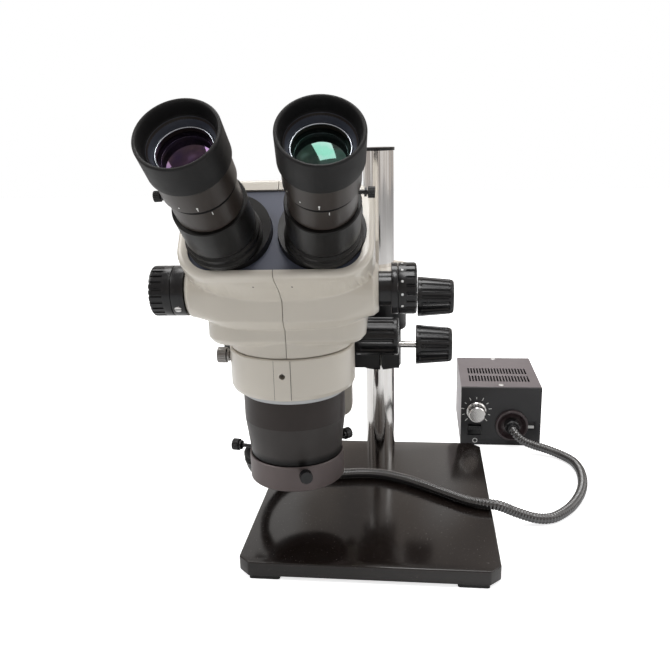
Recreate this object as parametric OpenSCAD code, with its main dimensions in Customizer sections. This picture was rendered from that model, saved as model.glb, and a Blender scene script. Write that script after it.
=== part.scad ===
// Stereo zoom microscope on a pole stand, with ring light, light guide and lamp box.
// Millimetres, +Z up. Origin: the pole axis at bench level. The microscope faces -Y.

/* [Stand] */
// Width of the base plate, side to side
base_w = 184; // [176:1:200]
// Depth of the base plate, front to back
base_d = 214.4; // [205:0.2:230]
// Distance from the pole axis to the rear edge of the base plate
base_rear = 29.6; // [28:0.2:36]
// Thickness of the base plate
base_t = 11; // [10:0.5:14]
// Height of the rubber feet under the plate
foot_h = 2.7; // [2:0.1:4]
// Diameter of the pole
pole_d = 25.4; // [25:0.1:25.4]
// Height of the top of the pole tube above the bench
pole_top = 287; // [280:1:320]

/* [Pole clamps] */
// Height of the underside of the stop collar
collar_z = 102; // [100:0.5:104]
// Length of the stop collar along the pole
collar_len = 34.4; // [34:0.2:34.4]
// Outer radius of the arm sleeve
sleeve_r = 23; // [21:0.5:24]
// Length of the arm sleeve along the pole
sleeve_len = 51.5; // [48:0.5:54]
// Height of the collar's pinch screw
pinch_z = 126.5; // [125:0.5:127]
// Height of the arm's clamp screw
clamp_z = 163; // [160:0.5:168]

/* [Focus drive] */
// Height of the pinion axis
pinion_z = 140.7; // [139:0.1:142]
// Distance of the pinion axis in front of the pole axis
pinion_y = -48; // [-49:0.5:-47]
// Module of the rack and pinion teeth
tooth_m = 0.8; // [0.6:0.1:0.8]
// Number of pinion teeth
pinion_teeth = 14; // [12:1:14]
// Radius of the two focus knobs
focus_knob_r = 15.5; // [13:0.5:15.5]
// Length of each focus knob
focus_knob_len = 35; // [30:1:35]

/* [Head] */
// Sideways place of the head axis
head_x = -57.5; // [-58:0.5:-57]
// Place of the head axis in front of the pole
head_y = -118; // [-118:0.5:-118]
// Turn of the head in its ring
head_turn = 2.5; // [0:0.25:3]
// Outer radius of the ring that holds the head
ring_r = 45.5; // [44:0.5:45.5]
// Radius of the head's mounting spigot
spigot_r = 38.1; // [38:0.1:38.1]
// Half width of the head across its zoom bosses
boss_x = 64; // [63:0.5:65]
// Place of the zoom shaft in front of the head axis
zoom_y = -34; // [-35:0.5:-33]
// Height of the zoom shaft
zoom_z = 202; // [200:0.5:203]
// Half length over the zoom knobs
zoom_end = 89; // [87:0.5:90]

/* [Eyepieces] */
// Half of the eye distance at the eyecups
half_eye_gap = 36.8; // [36:0.1:37]
// Outward lean of each eyepiece tube
tube_lean = 3.5; // [3:0.25:4]
// Length of an eyepiece and its tube above the top panel
tube_len = 98; // [97:0.5:99]
// Offset of each tube from the axis its prism housing turns on
turn_offset = 5.2; // [5:0.1:5.4]
// Outer radius of the rubber eyecups
cup_r = 23.8; // [23.6:0.1:24.2]

/* [Ring light] */
// Outer radius of the ring light
ringlight_r = 35.5; // [35:0.5:36]
// Height of the underside of the ring light
ringlight_z = 52.5; // [52:0.5:53]

/* [Lamp box] */
// Left edge of the lamp box
box_x = 75.6; // [75:0.2:80]
// Front face of the lamp box
box_y = 55.8; // [55:0.2:58]
// Width of the lamp box
box_w = 76.8; // [76:0.2:80]
// Depth of the lamp box
box_d = 97.1; // [95:0.1:110]
// Height of the lamp box
box_h = 60.3; // [60:0.1:64]

/* [Hidden] */
$fn = 64;

running = 0.05;                       // running clearance on a radius
pole_r = pole_d / 2;
plate_top = foot_h + base_t;
sleeve_z = collar_z + collar_len + 0.1;
sleeve_top = sleeve_z + sleeve_len;

shell_color = [0.80, 0.77, 0.71];
black_color = [0.10, 0.10, 0.11];
bronze_color = [0.24, 0.21, 0.19];
steel_color = [0.75, 0.75, 0.76];
brass_color = [0.78, 0.64, 0.32];
glass_color = [0.55, 0.70, 0.80, 0.5];

// ---- shared shapes ---------------------------------------------------------

// Places children with their +Z turned to +X.
module along_x() {
  rotate([0, 90, 0]) children();
}

// Places children in the frame of the microscope head.
module head_frame_place() {
  translate([head_x, head_y, 0]) rotate([0, 0, head_turn]) children();
}

// A knob with lengthwise flutes: base radius r1 at z = 0, end radius r2 at z = len.
module fluted_knob(len, r1, r2, flutes, plain, rim, hole_r, hole_len) {
  taper = atan((r1 - r2) / len);
  difference() {
    rotate_extrude() polygon([[0, 0], [r1 - 0.8, 0], [r1, 0.8], [r2, len - 1.6], [r2 - 1.6, len], [0, len]]);
    for (k = [0 : flutes - 1]) {
      rotate([0, 0, k * 360 / flutes]) translate([r1 + 0.55, 0, 0]) rotate([0, -taper, 0])
        translate([0, 0, plain]) cylinder(h = len - plain - rim, r = 1.3, $fn = 24);
    }
    if (hole_r > 0) {
      translate([0, 0, -1]) cylinder(h = hole_len + 1, r = hole_r);
    }
  }
}

// A small thumb screw: shaft from z = 0, neck disc and knurled head at its end.
module thumb_screw(shaft_len, shaft_r, head_len, head_r) {
  cylinder(h = shaft_len + 1, r = shaft_r);
  translate([0, 0, shaft_len - 2]) cylinder(h = 1.4, r = head_r * 0.78);
  difference() {
    translate([0, 0, shaft_len]) cylinder(h = head_len, r = head_r);
    for (k = [0 : 17]) {
      rotate([0, 0, k * 20]) translate([head_r + 0.25, 0, shaft_len - 1]) cylinder(h = head_len + 2, r = 0.55, $fn = 16);
    }
  }
}

// A rectangle with round corners, centred on the origin.
module round_rect(half_x, half_y, r) {
  square([2 * half_x - 2 * r, 2 * half_y], center = true);
  square([2 * half_x, 2 * half_y - 2 * r], center = true);
  for (sx = [-1, 1]) {
    for (sy = [-1, 1]) {
      translate([sx * (half_x - r), sy * (half_y - r)]) circle(r = r);
    }
  }
}

// ---- stand -----------------------------------------------------------------

base_chamfer = 8;
bolt_r = 3;
bolt_head_r = 5;
bolt_head_h = 6;

module base_outline(inset) {
  w = base_w / 2 - inset;
  front = base_rear - base_d + inset;
  rear = base_rear - inset;
  c = base_chamfer;
  polygon([[-w + c, front], [w - c, front], [w, front + c], [w, rear - c],
    [w - c, rear], [-w + c, rear], [-w, rear - c], [-w, front + c]]);
}

module base_plate() {
  color([0.16, 0.13, 0.12]) difference() {
    translate([0, 0, foot_h]) linear_extrude(base_t) base_outline(0);
    cylinder(h = plate_top + 1, r = bolt_r + 0.3);
    cylinder(h = foot_h + bolt_head_h + 0.5, r = bolt_head_r + 0.4);
  }
}

module base_feet() {
  size = 22;
  side_inset = 8;
  end_inset = 1.2;
  color(black_color) for (sx = [-1, 1]) {
    for (y = [base_rear - base_d + end_inset + size / 2, base_rear - end_inset - size / 2]) {
      translate([sx * (base_w / 2 - side_inset - size / 2), y, 0]) linear_extrude(foot_h) round_rect(size / 2, size / 2, 2);
    }
  }
  color(black_color) cylinder(h = foot_h, r = 12);
}

module pole() {
  color(steel_color) difference() {
    translate([0, 0, plate_top]) cylinder(h = pole_top - plate_top, r = pole_r);
    translate([0, 0, plate_top + 20]) cylinder(h = pole_top, r = pole_r - 2.5);
    translate([0, 0, plate_top - 1]) cylinder(h = 19, r = bolt_r + running);
  }
}

module pole_cap() {
  color(black_color) translate([0, 0, pole_top]) {
    cylinder(h = 2.5, r = pole_r + 0.9);
    translate([0, 0, -10]) cylinder(h = 10.5, r = pole_r - 2.6);
  }
}

module pole_bolt() {
  head_z = foot_h + 0.5;
  color(steel_color) difference() {
    union() {
      translate([0, 0, head_z]) cylinder(h = bolt_head_h, r = bolt_head_r);
      translate([0, 0, head_z + 1]) cylinder(h = 25, r = bolt_r);
    }
    translate([0, 0, head_z - 1]) cylinder(h = 4, r = 2.9, $fn = 6);
  }
}

// ---- stop collar -----------------------------------------------------------

liner_r = pole_r + running + 1.45;
ear_left = -21;
ear_right = 18;
ear_front = -32;
ear_back = -14;
pinch_y = -23;
pinch_r = 3;
pinch_knob_x = 31.8;

module collar_liner() {
  color([0.85, 0.85, 0.82]) difference() {
    translate([0, 0, collar_z + 2]) cylinder(h = collar_len - 4, r = liner_r);
    translate([0, 0, collar_z]) cylinder(h = collar_len, r = pole_r + running);
    translate([-0.75, -20, collar_z]) cube([1.5, 20, collar_len]);
  }
}

module stop_collar() {
  slit = 2;
  color(black_color) difference() {
    union() {
      translate([0, 0, collar_z]) cylinder(h = collar_len, r = 18.5);
      translate([ear_left, ear_front, collar_z + 6]) cube([ear_right - ear_left, ear_back - ear_front, collar_len - 8]);
    }
    translate([0, 0, collar_z - 1]) cylinder(h = collar_len + 2, r = liner_r + running);
    translate([1, ear_front - 1, collar_z - 1]) cube([slit, 25, collar_len + 2]);
    translate([ear_left - 1, pinch_y, pinch_z]) along_x() cylinder(h = ear_right - ear_left + 2, r = pinch_r + running);
  }
}

module collar_clamp_screw() {
  color(steel_color) translate([ear_left + 2, pinch_y, pinch_z]) along_x()
    cylinder(h = pinch_knob_x + 18 - ear_left - 2, r = pinch_r);
}

module collar_clamp_knob() {
  color(black_color) translate([pinch_knob_x, pinch_y, pinch_z]) along_x()
    fluted_knob(30.4, 16.8, 14.3, 18, 3.5, 3.6, pinch_r, 18);
}

// ---- arm -------------------------------------------------------------------

housing_left = -88.5;
housing_right = -19;
housing_front = -63.9;
housing_back = -34;
housing_z = 112;
housing_top = 163;
// The focus housing ends lower, so that the head can turn above it at its lowest point.
focus_top = 153.4;
bolt_places = [-66, -40];
bolt_z = 150;
clamp_r = 4;
clamp_knob_x = 33;

module arm_sleeve() {
  color(black_color) difference() {
    union() {
      translate([0, 0, sleeve_z]) cylinder(h = sleeve_len, r = sleeve_r);
      translate([0, 0, sleeve_z + 1.5]) linear_extrude(housing_top - sleeve_z - 1.5)
        polygon([[-78, housing_back], [-20, housing_back], [-6, -16], [-12, 17], [-22, 14]]);
    }
    translate([0, 0, sleeve_z - 1]) cylinder(h = sleeve_len + 2, r = pole_r + running);
    translate([pole_r - 2, 0, clamp_z]) along_x() cylinder(h = sleeve_r, r = clamp_r + running);
    for (x = bolt_places) {
      translate([x, housing_back + 6, bolt_z]) rotate([-90, 0, 0]) cylinder(h = 60, r = 4);
      translate([x, housing_back - 1, bolt_z]) rotate([-90, 0, 0]) cylinder(h = 10, r = 2.2);
    }
  }
}

module sleeve_top_ring() {
  color(shell_color) translate([0, 0, sleeve_top]) rotate_extrude()
    polygon([[pole_r + running, 0], [27.5, 0], [28, 0.5], [28, 2.2], [27.3, 2.8], [pole_r + running, 2.8]]);
}

module arm_bolts() {
  color(steel_color) for (x = bolt_places) {
    translate([x, housing_back - 10, bolt_z]) rotate([-90, 0, 0]) difference() {
      union() {
        cylinder(h = 16, r = 2);
        translate([0, 0, 16]) cylinder(h = 4, r = 3.5);
      }
      translate([0, 0, 18]) cylinder(h = 4, r = 1.7, $fn = 6);
    }
  }
}

module arm_clamp_screw() {
  tip = pole_r + 0.3;
  color(steel_color) translate([tip, 0, clamp_z]) along_x() cylinder(h = clamp_knob_x + 18 - tip, r = clamp_r);
}

module arm_clamp_knob() {
  color(black_color) translate([clamp_knob_x, 0, clamp_z]) along_x()
    fluted_knob(31, 17.3, 14.6, 18, 3.6, 3.6, clamp_r, 18);
}

// ---- focus drive -----------------------------------------------------------

pitch_r = tooth_m * pinion_teeth / 2;
tooth_pitch = PI * tooth_m;
gear_half = 5;
shaft_r = 4;
dovetail_front = -64;
dovetail_back = -57;
dovetail_z = 84;
dovetail_top = 163;
slide_half = 38.5;
slide_z = 80;
slide_top = 150;
slide_front = -72;

module dovetail(clear) {
  polygon([[-15 - clear, dovetail_front - 0.1], [15 + clear, dovetail_front - 0.1],
    [18 + clear, dovetail_back + clear], [-18 - clear, dovetail_back + clear]]);
}

module focus_housing() {
  c = 5;
  color(black_color) difference() {
    translate([0, 0, housing_z]) linear_extrude(focus_top - housing_z) polygon([
      [housing_left, housing_front + 2], [housing_left + 2, housing_front],
      [housing_right - 2, housing_front], [housing_right, housing_front + 2],
      [housing_right, housing_back - c], [housing_right - c, housing_back],
      [housing_left + c, housing_back], [housing_left, housing_back - c]]);
    translate([head_x, 0, housing_z - 1]) linear_extrude(focus_top - housing_z + 2) dovetail(0.1);
    translate([head_x - 4.6, dovetail_back - 1, housing_z - 1]) cube([9.2, 6.5, focus_top - housing_z + 2]);
    translate([head_x - gear_half - 0.6, pinion_y, pinion_z]) along_x() cylinder(h = 2 * gear_half + 1.2, r = pitch_r + 1.6);
    translate([housing_left - 1, pinion_y, pinion_z]) along_x()
      cylinder(h = housing_right - housing_left + 2, r = shaft_r + running);
    for (x = bolt_places) {
      translate([x, housing_back - 12, bolt_z]) rotate([-90, 0, 0]) cylinder(h = 13, r = 2 + running);
    }
  }
}

knob_right_x = -17;
knob_left_x = -90;

module pinion_tooth() {
  polygon([[0, -0.74], [pitch_r - tooth_m * 1.2, -0.74], [pitch_r, -0.52], [pitch_r + tooth_m * 0.85, -0.26],
    [pitch_r + tooth_m * 0.85, 0.26], [pitch_r, 0.52], [pitch_r - tooth_m * 1.2, 0.74], [0, 0.74]]);
}

module pinion_shaft() {
  left_end = knob_left_x - focus_knob_len + 4;
  right_end = knob_right_x + focus_knob_len - 4;
  color(steel_color) {
    translate([left_end, pinion_y, pinion_z]) along_x() cylinder(h = right_end - left_end, r = shaft_r);
    translate([head_x - gear_half, pinion_y, pinion_z]) along_x() linear_extrude(2 * gear_half) {
      circle(r = pitch_r - tooth_m * 1.25);
      for (k = [0 : pinion_teeth - 1]) {
        rotate((k + 0.5) * 360 / pinion_teeth - 90) pinion_tooth();
      }
    }
  }
}

module focus_knobs() {
  color(black_color) {
    translate([knob_right_x, pinion_y, pinion_z]) along_x()
      fluted_knob(focus_knob_len, focus_knob_r, focus_knob_r, 12, 5, 4, shaft_r, focus_knob_len - 4);
    translate([knob_left_x, pinion_y, pinion_z]) rotate([0, -90, 0])
      fluted_knob(focus_knob_len, focus_knob_r, focus_knob_r, 12, 5, 4, shaft_r, focus_knob_len - 4);
  }
}

module focus_slide() {
  corner = 9;
  color(shell_color) {
    translate([head_x, dovetail_front, 0]) rotate([90, 0, 0]) linear_extrude(dovetail_front - slide_front) {
      translate([-slide_half, slide_z + corner]) square([2 * slide_half, slide_top - slide_z - corner]);
      translate([-slide_half + corner, slide_z]) square([2 * slide_half - 2 * corner, corner + 1]);
      for (sx = [-1, 1]) {
        translate([sx * (slide_half - corner), slide_z + corner]) circle(r = corner);
      }
    }
    translate([head_x, 0, dovetail_z]) linear_extrude(dovetail_top - dovetail_z) dovetail(0);
  }
}

module rack() {
  root = pinion_y - pitch_r - tooth_m * 1.25;
  tip = pinion_y - pitch_r + tooth_m * 0.9;
  half = tooth_pitch / 4 - 0.08;
  first = floor((dovetail_z + 2 - pinion_z) / tooth_pitch) + 1;
  last = floor((dovetail_top - 2 - pinion_z) / tooth_pitch);
  color(brass_color) {
    translate([head_x - 4, dovetail_back, dovetail_z]) cube([8, root - dovetail_back, dovetail_top - dovetail_z]);
    for (k = [first : last]) {
      translate([head_x - 4, 0, pinion_z + k * tooth_pitch]) rotate([90, 0, 90]) linear_extrude(8)
        polygon([[root - 0.05, -half - 0.36], [tip, -half + 0.27], [tip, half - 0.27], [root - 0.05, half + 0.36]]);
    }
  }
}

// ---- head ring -------------------------------------------------------------

ring_z = 124.5;
ring_top = 155.5;
ring_screw_z = 145.2;

module head_ring() {
  pad_half = 5.6;
  color(shell_color) difference() {
    union() {
      translate([head_x, head_y, 0]) rotate_extrude() polygon([[spigot_r - 4, ring_z], [ring_r - 4, ring_z],
        [ring_r - 1.2, ring_z + 1.2], [ring_r, ring_z + 4], [ring_r, ring_top - 0.8], [ring_r - 0.8, ring_top],
        [spigot_r - 4, ring_top]]);
      translate([head_x - pad_half, head_y - ring_r - 0.2, ring_z + 2]) cube([2 * pad_half, 6, ring_top - ring_z - 2.5]);
      translate([head_x - 18, slide_front - 9, ring_z + 3]) cube([36, 9, 22]);
    }
    translate([head_x, head_y, ring_z - 1]) cylinder(h = 40, r = spigot_r + running);
    translate([head_x, head_y - ring_r - 1, 143.8]) rotate([-90, 0, 0]) cylinder(h = 12, r = 2.05);
    translate([head_x - ring_r - 1, head_y, ring_screw_z]) along_x() cylinder(h = 12, r = 2.5 + running);
  }
}

module head_clamp_screw() {
  tip = head_x - spigot_r - 0.2;
  color(steel_color) translate([tip, head_y, ring_screw_z]) rotate([0, -90, 0]) {
    thumb_screw(11.2, 2.5, 6.6, 5.9);
  }
}

// ---- head frame and covers, in the head's own frame --------------------------

face_tilt = 48.5;                    // slope of the inclined top face
face_y = -55.2;                      // centre of the inclined top face
face_z = 247.7;
face_half_x = 62;
face_half_y = 36.8;
lens_x = 14;

// Places children on the inclined top face: local Z is its outward normal.
module on_face() {
  translate([0, face_y, face_z]) rotate([face_tilt, 0, 0]) children();
}

module step_block(i) {
  hull() {
    for (sx = [-1, 1]) {
      for (cy = [-23, 24]) {
        translate([sx * 33, cy, 165 + i]) cylinder(h = 1, r = 19 - i, $fn = 32);
        translate([sx * 33, cy, 168.5 + i]) cylinder(h = 12 - i, r = 22 - i, $fn = 32);
      }
    }
  }
}

module boss_band(i) {
  hull() {
    for (sx = [-1, 1]) {
      for (cy = [-28, 16]) {
        translate([sx * 33, cy, 177.5 + i]) cylinder(h = 1, r = 20 - i, $fn = 32);
      }
      for (cy = [-28, 8]) {
        translate([sx * 38, cy, 184]) cylinder(h = 20, r = 24.5 - i, $fn = 32);
      }
      translate([sx * (boss_x - i - 2), zoom_y, zoom_z]) rotate([0, 90, 0]) cylinder(h = 4, r = 15.5 - i, center = true, $fn = 32);
      translate([sx * (boss_x - i - 5), zoom_y, zoom_z]) rotate([0, 90, 0]) cylinder(h = 4, r = 19.5 - i, center = true, $fn = 32);
    }
  }
}

module flared_top(i) {
  hull() {
    on_face() {
      for (sx = [-1, 1]) {
        for (sy = [-1, 1]) {
          translate([sx * (face_half_x - 22), sy * (face_half_y - 22), -i - 1]) cylinder(h = 1, r = 20.5 - 3.4 * i, $fn = 32);
          translate([sx * (face_half_x - 22), sy * (face_half_y - 22), -8]) cylinder(h = 5, r = 22 - i, $fn = 32);
        }
      }
    }
    for (sx = [-1, 1]) {
      for (cy = [-28, 6]) {
        translate([sx * 38, cy, 200]) cylinder(h = 4, r = 23.5 - i, $fn = 32);
      }
    }
  }
}

panel_half_x = 54.5;
panel_half_y = 29.9;
panel_shift = -2.45;
panel_depth = 1.5;
panel_t = 2.5;
cover_neck_r = 44;
wall = 2.5;

module covers_whole() {
  difference() {
    union() {
      translate([0, 0, ring_top + 0.4]) cylinder(h = 14, r = cover_neck_r);
      step_block(0);
      boss_band(0);
      flared_top(0);
    }
    step_block(wall);
    boss_band(wall);
    flared_top(wall);
    translate([0, 0, ring_top]) cylinder(h = 16, r = 41.2);
    on_face() translate([0, panel_shift, -8]) linear_extrude(12) round_rect(panel_half_x + 0.1, panel_half_y + 0.1, 16.1);
    on_face() for (sx = [-1, 1]) {
      translate([sx * pivot_x, pivot_y, 0]) rotate([0, sx * tube_lean, 0]) translate([0, 0, -14]) cylinder(h = 26, r = disc_r + 0.3);
    }
    translate([-90, zoom_y, zoom_z]) along_x() cylinder(h = 180, r = 12);
  }
}

// Everything on one side of the seam between the covers, side = -1 left or 1 right.
module seam_side(side) {
  seam_low = 1.4;
  seam_high = 0;
  translate([0, 100, 0]) rotate([90, 0, 0]) linear_extrude(200)
    polygon([[side * 110, 150], [seam_low, 150], [seam_low, 198], [seam_high, 220], [seam_high, 300], [side * 110, 300]]);
}

module left_cover() {
  color(shell_color) head_frame_place() difference() {
    covers_whole();
    seam_side(1);
  }
}

module right_cover() {
  color(shell_color) head_frame_place() difference() {
    covers_whole();
    seam_side(-1);
  }
}

disc_r = 27.5;
turn_angle = 75;
tube_x = half_eye_gap - tube_len * sin(tube_lean);
tube_y = -9.8;
pivot_x = tube_x - turn_offset * cos(turn_angle);
pivot_y = tube_y + turn_offset * sin(turn_angle);

module top_panel() {
  color([0.27, 0.28, 0.33]) head_frame_place() on_face() difference() {
    translate([0, panel_shift, -panel_depth - panel_t]) linear_extrude(panel_t) round_rect(panel_half_x, panel_half_y, 16);
    for (sx = [-1, 1]) {
      translate([sx * pivot_x, pivot_y, 0]) rotate([0, sx * tube_lean, 0]) translate([0, 0, -12]) cylinder(h = 20, r = disc_r + 0.25);
    }
  }
}

module head_frame() {
  post_in = 38;
  post_t = 4;
  color([0.55, 0.56, 0.58]) head_frame_place() difference() {
    union() {
      rotate_extrude() polygon([[33.5, 121], [spigot_r, 121], [spigot_r, ring_top + 0.1], [41, ring_top + 0.1],
        [41, 162], [38, 165], [38, 168.5], [33.5, 168.5]]);
      translate([0, 0, 150]) cylinder(h = 3, r = 34);
      difference() {
        translate([-43, -33, 168.2]) cube([86, 45, 3.3]);
        translate([0, 0, 160]) cylinder(h = 20, r = 33.5);
      }
      for (sx = [-1, 1]) {
        translate([sx * (post_in + post_t / 2) - post_t / 2, 0, 0]) rotate([90, 0, 90]) linear_extrude(post_t)
          polygon([[-30, 169], [8, 169], [0, 205], [-22, 212], [-44, 212], [-44, 190], [-33, 178]]);
      }
      for (y = [-11, 11]) {
        translate([0, y, 152]) cylinder(h = 50, r = 1.5);
      }
    }
    for (sx = [-1, 1]) {
      translate([sx * lens_x, 0, 145]) cylinder(h = 12, r = 11);
    }
    translate([-60, zoom_y, zoom_z]) along_x() cylinder(h = 120, r = shaft_r + running);
  }
}

// ---- objective -------------------------------------------------------------

barrel_r = 37.5;
cone_top = 100.5;
cone_z = 64.5;
cone_r = 33;

module objective_barrel() {
  color(black_color) head_frame_place() rotate_extrude() polygon([
    [34, cone_top], [barrel_r, cone_top], [barrel_r, 120.9], [33.5, 120.9], [33.5, 104], [34, 104]]);
}

module barrel_cone() {
  color([0.17, 0.16, 0.16]) head_frame_place() difference() {
    rotate_extrude() polygon([[0, cone_z], [cone_r - 0.6, cone_z], [cone_r, cone_z + 0.6], [barrel_r, cone_top - 0.02],
      [34, cone_top - 0.02], [30.5, cone_z + 3], [0, cone_z + 3]]);
    for (sx = [-1, 1]) {
      translate([sx * lens_x, 0, cone_z - 1]) cylinder(h = 5, r = 12.5);
    }
  }
}

module objective_lenses() {
  color(glass_color) head_frame_place() for (sx = [-1, 1]) {
    translate([sx * lens_x, 0, cone_z + 0.6]) cylinder(h = 2.2, r = 12.5);
  }
}

// ---- zoom drive ------------------------------------------------------------

zoom_half_shaft = zoom_end - 4.2;

module zoom_carriers() {
  color(brass_color) head_frame_place() difference() {
    union() {
      for (sx = [-1, 1]) {
        translate([sx * lens_x, 0, 174]) cylinder(h = 16, r = 10.5);
      }
      translate([-8, -15, 180]) cube([16, 30, 3]);
      translate([-2.5, -26, 180]) cube([5, 12, 3]);
    }
    for (sx = [-1, 1]) {
      translate([sx * lens_x, 0, 173]) cylinder(h = 7, r = 9);
      translate([sx * lens_x, 0, 173]) cylinder(h = 20, r = 7.5);
      translate([sx * lens_x, 0, 183]) cylinder(h = 10, r = 9);
    }
    for (y = [-11, 11]) {
      translate([0, y, 170]) cylinder(h = 30, r = 1.5 + running);
    }
  }
}

module zoom_shaft() {
  color(steel_color) head_frame_place() translate([0, zoom_y, zoom_z]) {
    translate([-zoom_half_shaft, 0, 0]) along_x() cylinder(h = 2 * zoom_half_shaft, r = shaft_r);
    translate([-14, 0, 0]) along_x() cylinder(h = 28, r = 6.5);
  }
}

flange_r = 17.1;
left_flange_x = 73;
right_flange_x = 76.5;

module zoom_flanges() {
  color(black_color) head_frame_place() translate([0, zoom_y, zoom_z]) difference() {
    union() {
      translate([-left_flange_x, 0, 0]) along_x() cylinder(h = left_flange_x - boss_x, r = flange_r);
      translate([-boss_x - 1, 0, 0]) along_x() cylinder(h = 6, r = 11.8);
      translate([right_flange_x - 4.2, 0, 0]) along_x() cylinder(h = 4.2, r = flange_r);
      translate([boss_x - 5, 0, 0]) along_x() cylinder(h = right_flange_x - boss_x + 2, r = 11.8);
    }
    translate([-90, 0, 0]) along_x() cylinder(h = 180, r = shaft_r + running);
    translate([-boss_x + 5.5, 0, 0]) along_x() cylinder(h = 2 * boss_x - 11, r = 20);
  }
}

// Knob on the zoom shaft: plain band at z = 0, ribbed band to its end face.
module zoom_knob(len, plain) {
  difference() {
    rotate_extrude() polygon([[shaft_r, 0], [flange_r, 0], [flange_r, len - 2.2], [flange_r - 2.2, len], [0, len],
      [0, len - 2.8], [shaft_r, len - 2.8]]);
    for (k = [0 : 23]) {
      rotate([0, 0, k * 15]) translate([flange_r + 0.35, 0, plain]) cylinder(h = len, r = 1.1, $fn = 24);
    }
  }
}

module zoom_knob_left() {
  start = left_flange_x + 0.3;
  color(black_color) head_frame_place() translate([-start, zoom_y, zoom_z]) rotate([0, -90, 0])
    zoom_knob(zoom_end - 1 - start, 5.5);
}

module zoom_knob_right() {
  start = right_flange_x + 0.3;
  color(black_color) head_frame_place() translate([start, zoom_y, zoom_z]) along_x()
    zoom_knob(zoom_end - start, 5);
}

// ---- eyepiece tubes: local Z runs up the tube axis ---------------------------

tube_bore = 15;

// Places children on a tube axis, side = -1 left or 1 right, z = 0 on the top face.
module on_tube(side) {
  head_frame_place() on_face() translate([side * tube_x, tube_y, 0]) rotate([0, side * tube_lean, 0]) children();
}

// Places children on the axis that a prism housing turns about.
module on_pivot(side) {
  head_frame_place() on_face() translate([side * pivot_x, pivot_y, 0]) rotate([0, side * tube_lean, 0]) children();
}

module prism_housing(side) {
  color(black_color) difference() {
    union() {
      on_pivot(side) translate([0, 0, -9]) cylinder(h = 11.5, r = disc_r);
      on_pivot(side) translate([-11, -11, -30]) cube([22, 22, 22]);
      on_tube(side) rotate_extrude() polygon([[0, 2], [23.8, 2], [24.4, 3], [24.4, 6], [23.2, 7], [23.4, 10.6],
        [22.1, 11.8], [22.6, 14.4], [22.6, ring_low - 0.8], [22, ring_low - 0.2], [0, ring_low - 0.2]]);
    }
    on_tube(side) translate([0, 0, 3.4]) cylinder(h = 40, r = tube_bore + running);
    on_tube(side) translate([0, 0, -13]) cylinder(h = 20, r = 8);
    on_pivot(side) translate([-9.2, -9.2, -28.5]) cube([18.4, 18.4, 16]);
  }
}

module prism_housing_left() {
  prism_housing(-1);
}

module prism_housing_right() {
  prism_housing(1);
}

module prism_block(side) {
  color(glass_color) on_pivot(side) translate([-9, 0, -28]) rotate([90, 0, 90]) linear_extrude(18)
    polygon([[-9, 0], [9, 0], [9, 10], [4, 15], [-9, 15]]);
}

module prism_left() {
  prism_block(-1);
}

module prism_right() {
  prism_block(1);
}

ring_low = 38;
ring_mid = 58.5;
cup_low = 76;
neck_r = 17;
screw_up = 47;

module eyepiece(side) {
  color(bronze_color) on_tube(side) difference() {
    union() {
      translate([0, 0, 6]) cylinder(h = ring_low - 5, r = tube_bore);
      rotate_extrude() polygon([[0, ring_low], [20, ring_low], [20.4, ring_low + 0.4], [20.4, ring_mid - 0.4],
        [20, ring_mid], [neck_r, ring_mid], [neck_r, 73], [0, 73]]);
    }
    translate([0, 0, 5]) cylinder(h = 72, r = 13);
    translate([0, 0, screw_up]) rotate([0, side * 90, 0]) cylinder(h = 25, r = 1.3 + running);
  }
}

module eyepiece_left() {
  eyepiece(-1);
}

module eyepiece_right() {
  eyepiece(1);
}

module diopter_ring(side) {
  seat = tube_len - 14;
  color(bronze_color) on_tube(side) rotate_extrude() polygon([[neck_r + running, ring_mid + 0.15],
    [21.6, ring_mid + 0.15], [22, ring_mid + 0.6], [22, cup_low - 0.4], [19.6, cup_low - 0.4], [19.6, seat + 4.5],
    [19.2, seat + 4.8], [16.6, seat - 0.4], [16.2, seat], [15.8, seat], [15.8, seat - 4.1], [14.6, seat - 4.9],
    [14.6, seat - 7], [neck_r + running, seat - 9]]);
}

module diopter_ring_left() {
  diopter_ring(-1);
}

module diopter_ring_right() {
  diopter_ring(1);
}

module eyecup(side) {
  color(black_color) on_tube(side) rotate_extrude() polygon([[19.6, cup_low], [cup_r - 0.8, cup_low],
    [cup_r, cup_low + 0.8], [cup_r, tube_len - 0.8], [cup_r - 0.6, tube_len], [cup_r - 1.4, tube_len],
    [cup_r - 2.1, tube_len - 1], [19.9, tube_len - 9], [19.6, tube_len - 9.5]]);
}

module eyecup_left() {
  eyecup(-1);
}

module eyecup_right() {
  eyecup(1);
}

module eye_lens(side) {
  bulge_r = 60;
  seat = tube_len - 18;
  crown = tube_len - 14.9;
  rim_r = 15.75;
  color(glass_color) on_tube(side) rotate_extrude() polygon(concat([[0, seat], [rim_r, seat]],
    [for (r = [rim_r, 14, 11, 8, 5, 2.5, 0]) [r, crown - bulge_r + sqrt(bulge_r * bulge_r - r * r)]]));
}

module eye_lens_left() {
  eye_lens(-1);
}

module eye_lens_right() {
  eye_lens(1);
}

module lock_screw(side) {
  color(black_color) on_tube(side) translate([side * 16, 0, screw_up]) rotate([0, side * 90, 0])
    thumb_screw(9.6, 1.3, 4, 3.2);
}

module lock_screw_left() {
  lock_screw(-1);
}

module lock_screw_right() {
  lock_screw(1);
}

// ---- ring light ------------------------------------------------------------

ringlight_h = 19;
screw_level = 68.3;
screw_turns = [15, 135, -105];
stub_turn = -117;
stub_z = 60;
stub_end = 38.5;

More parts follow.
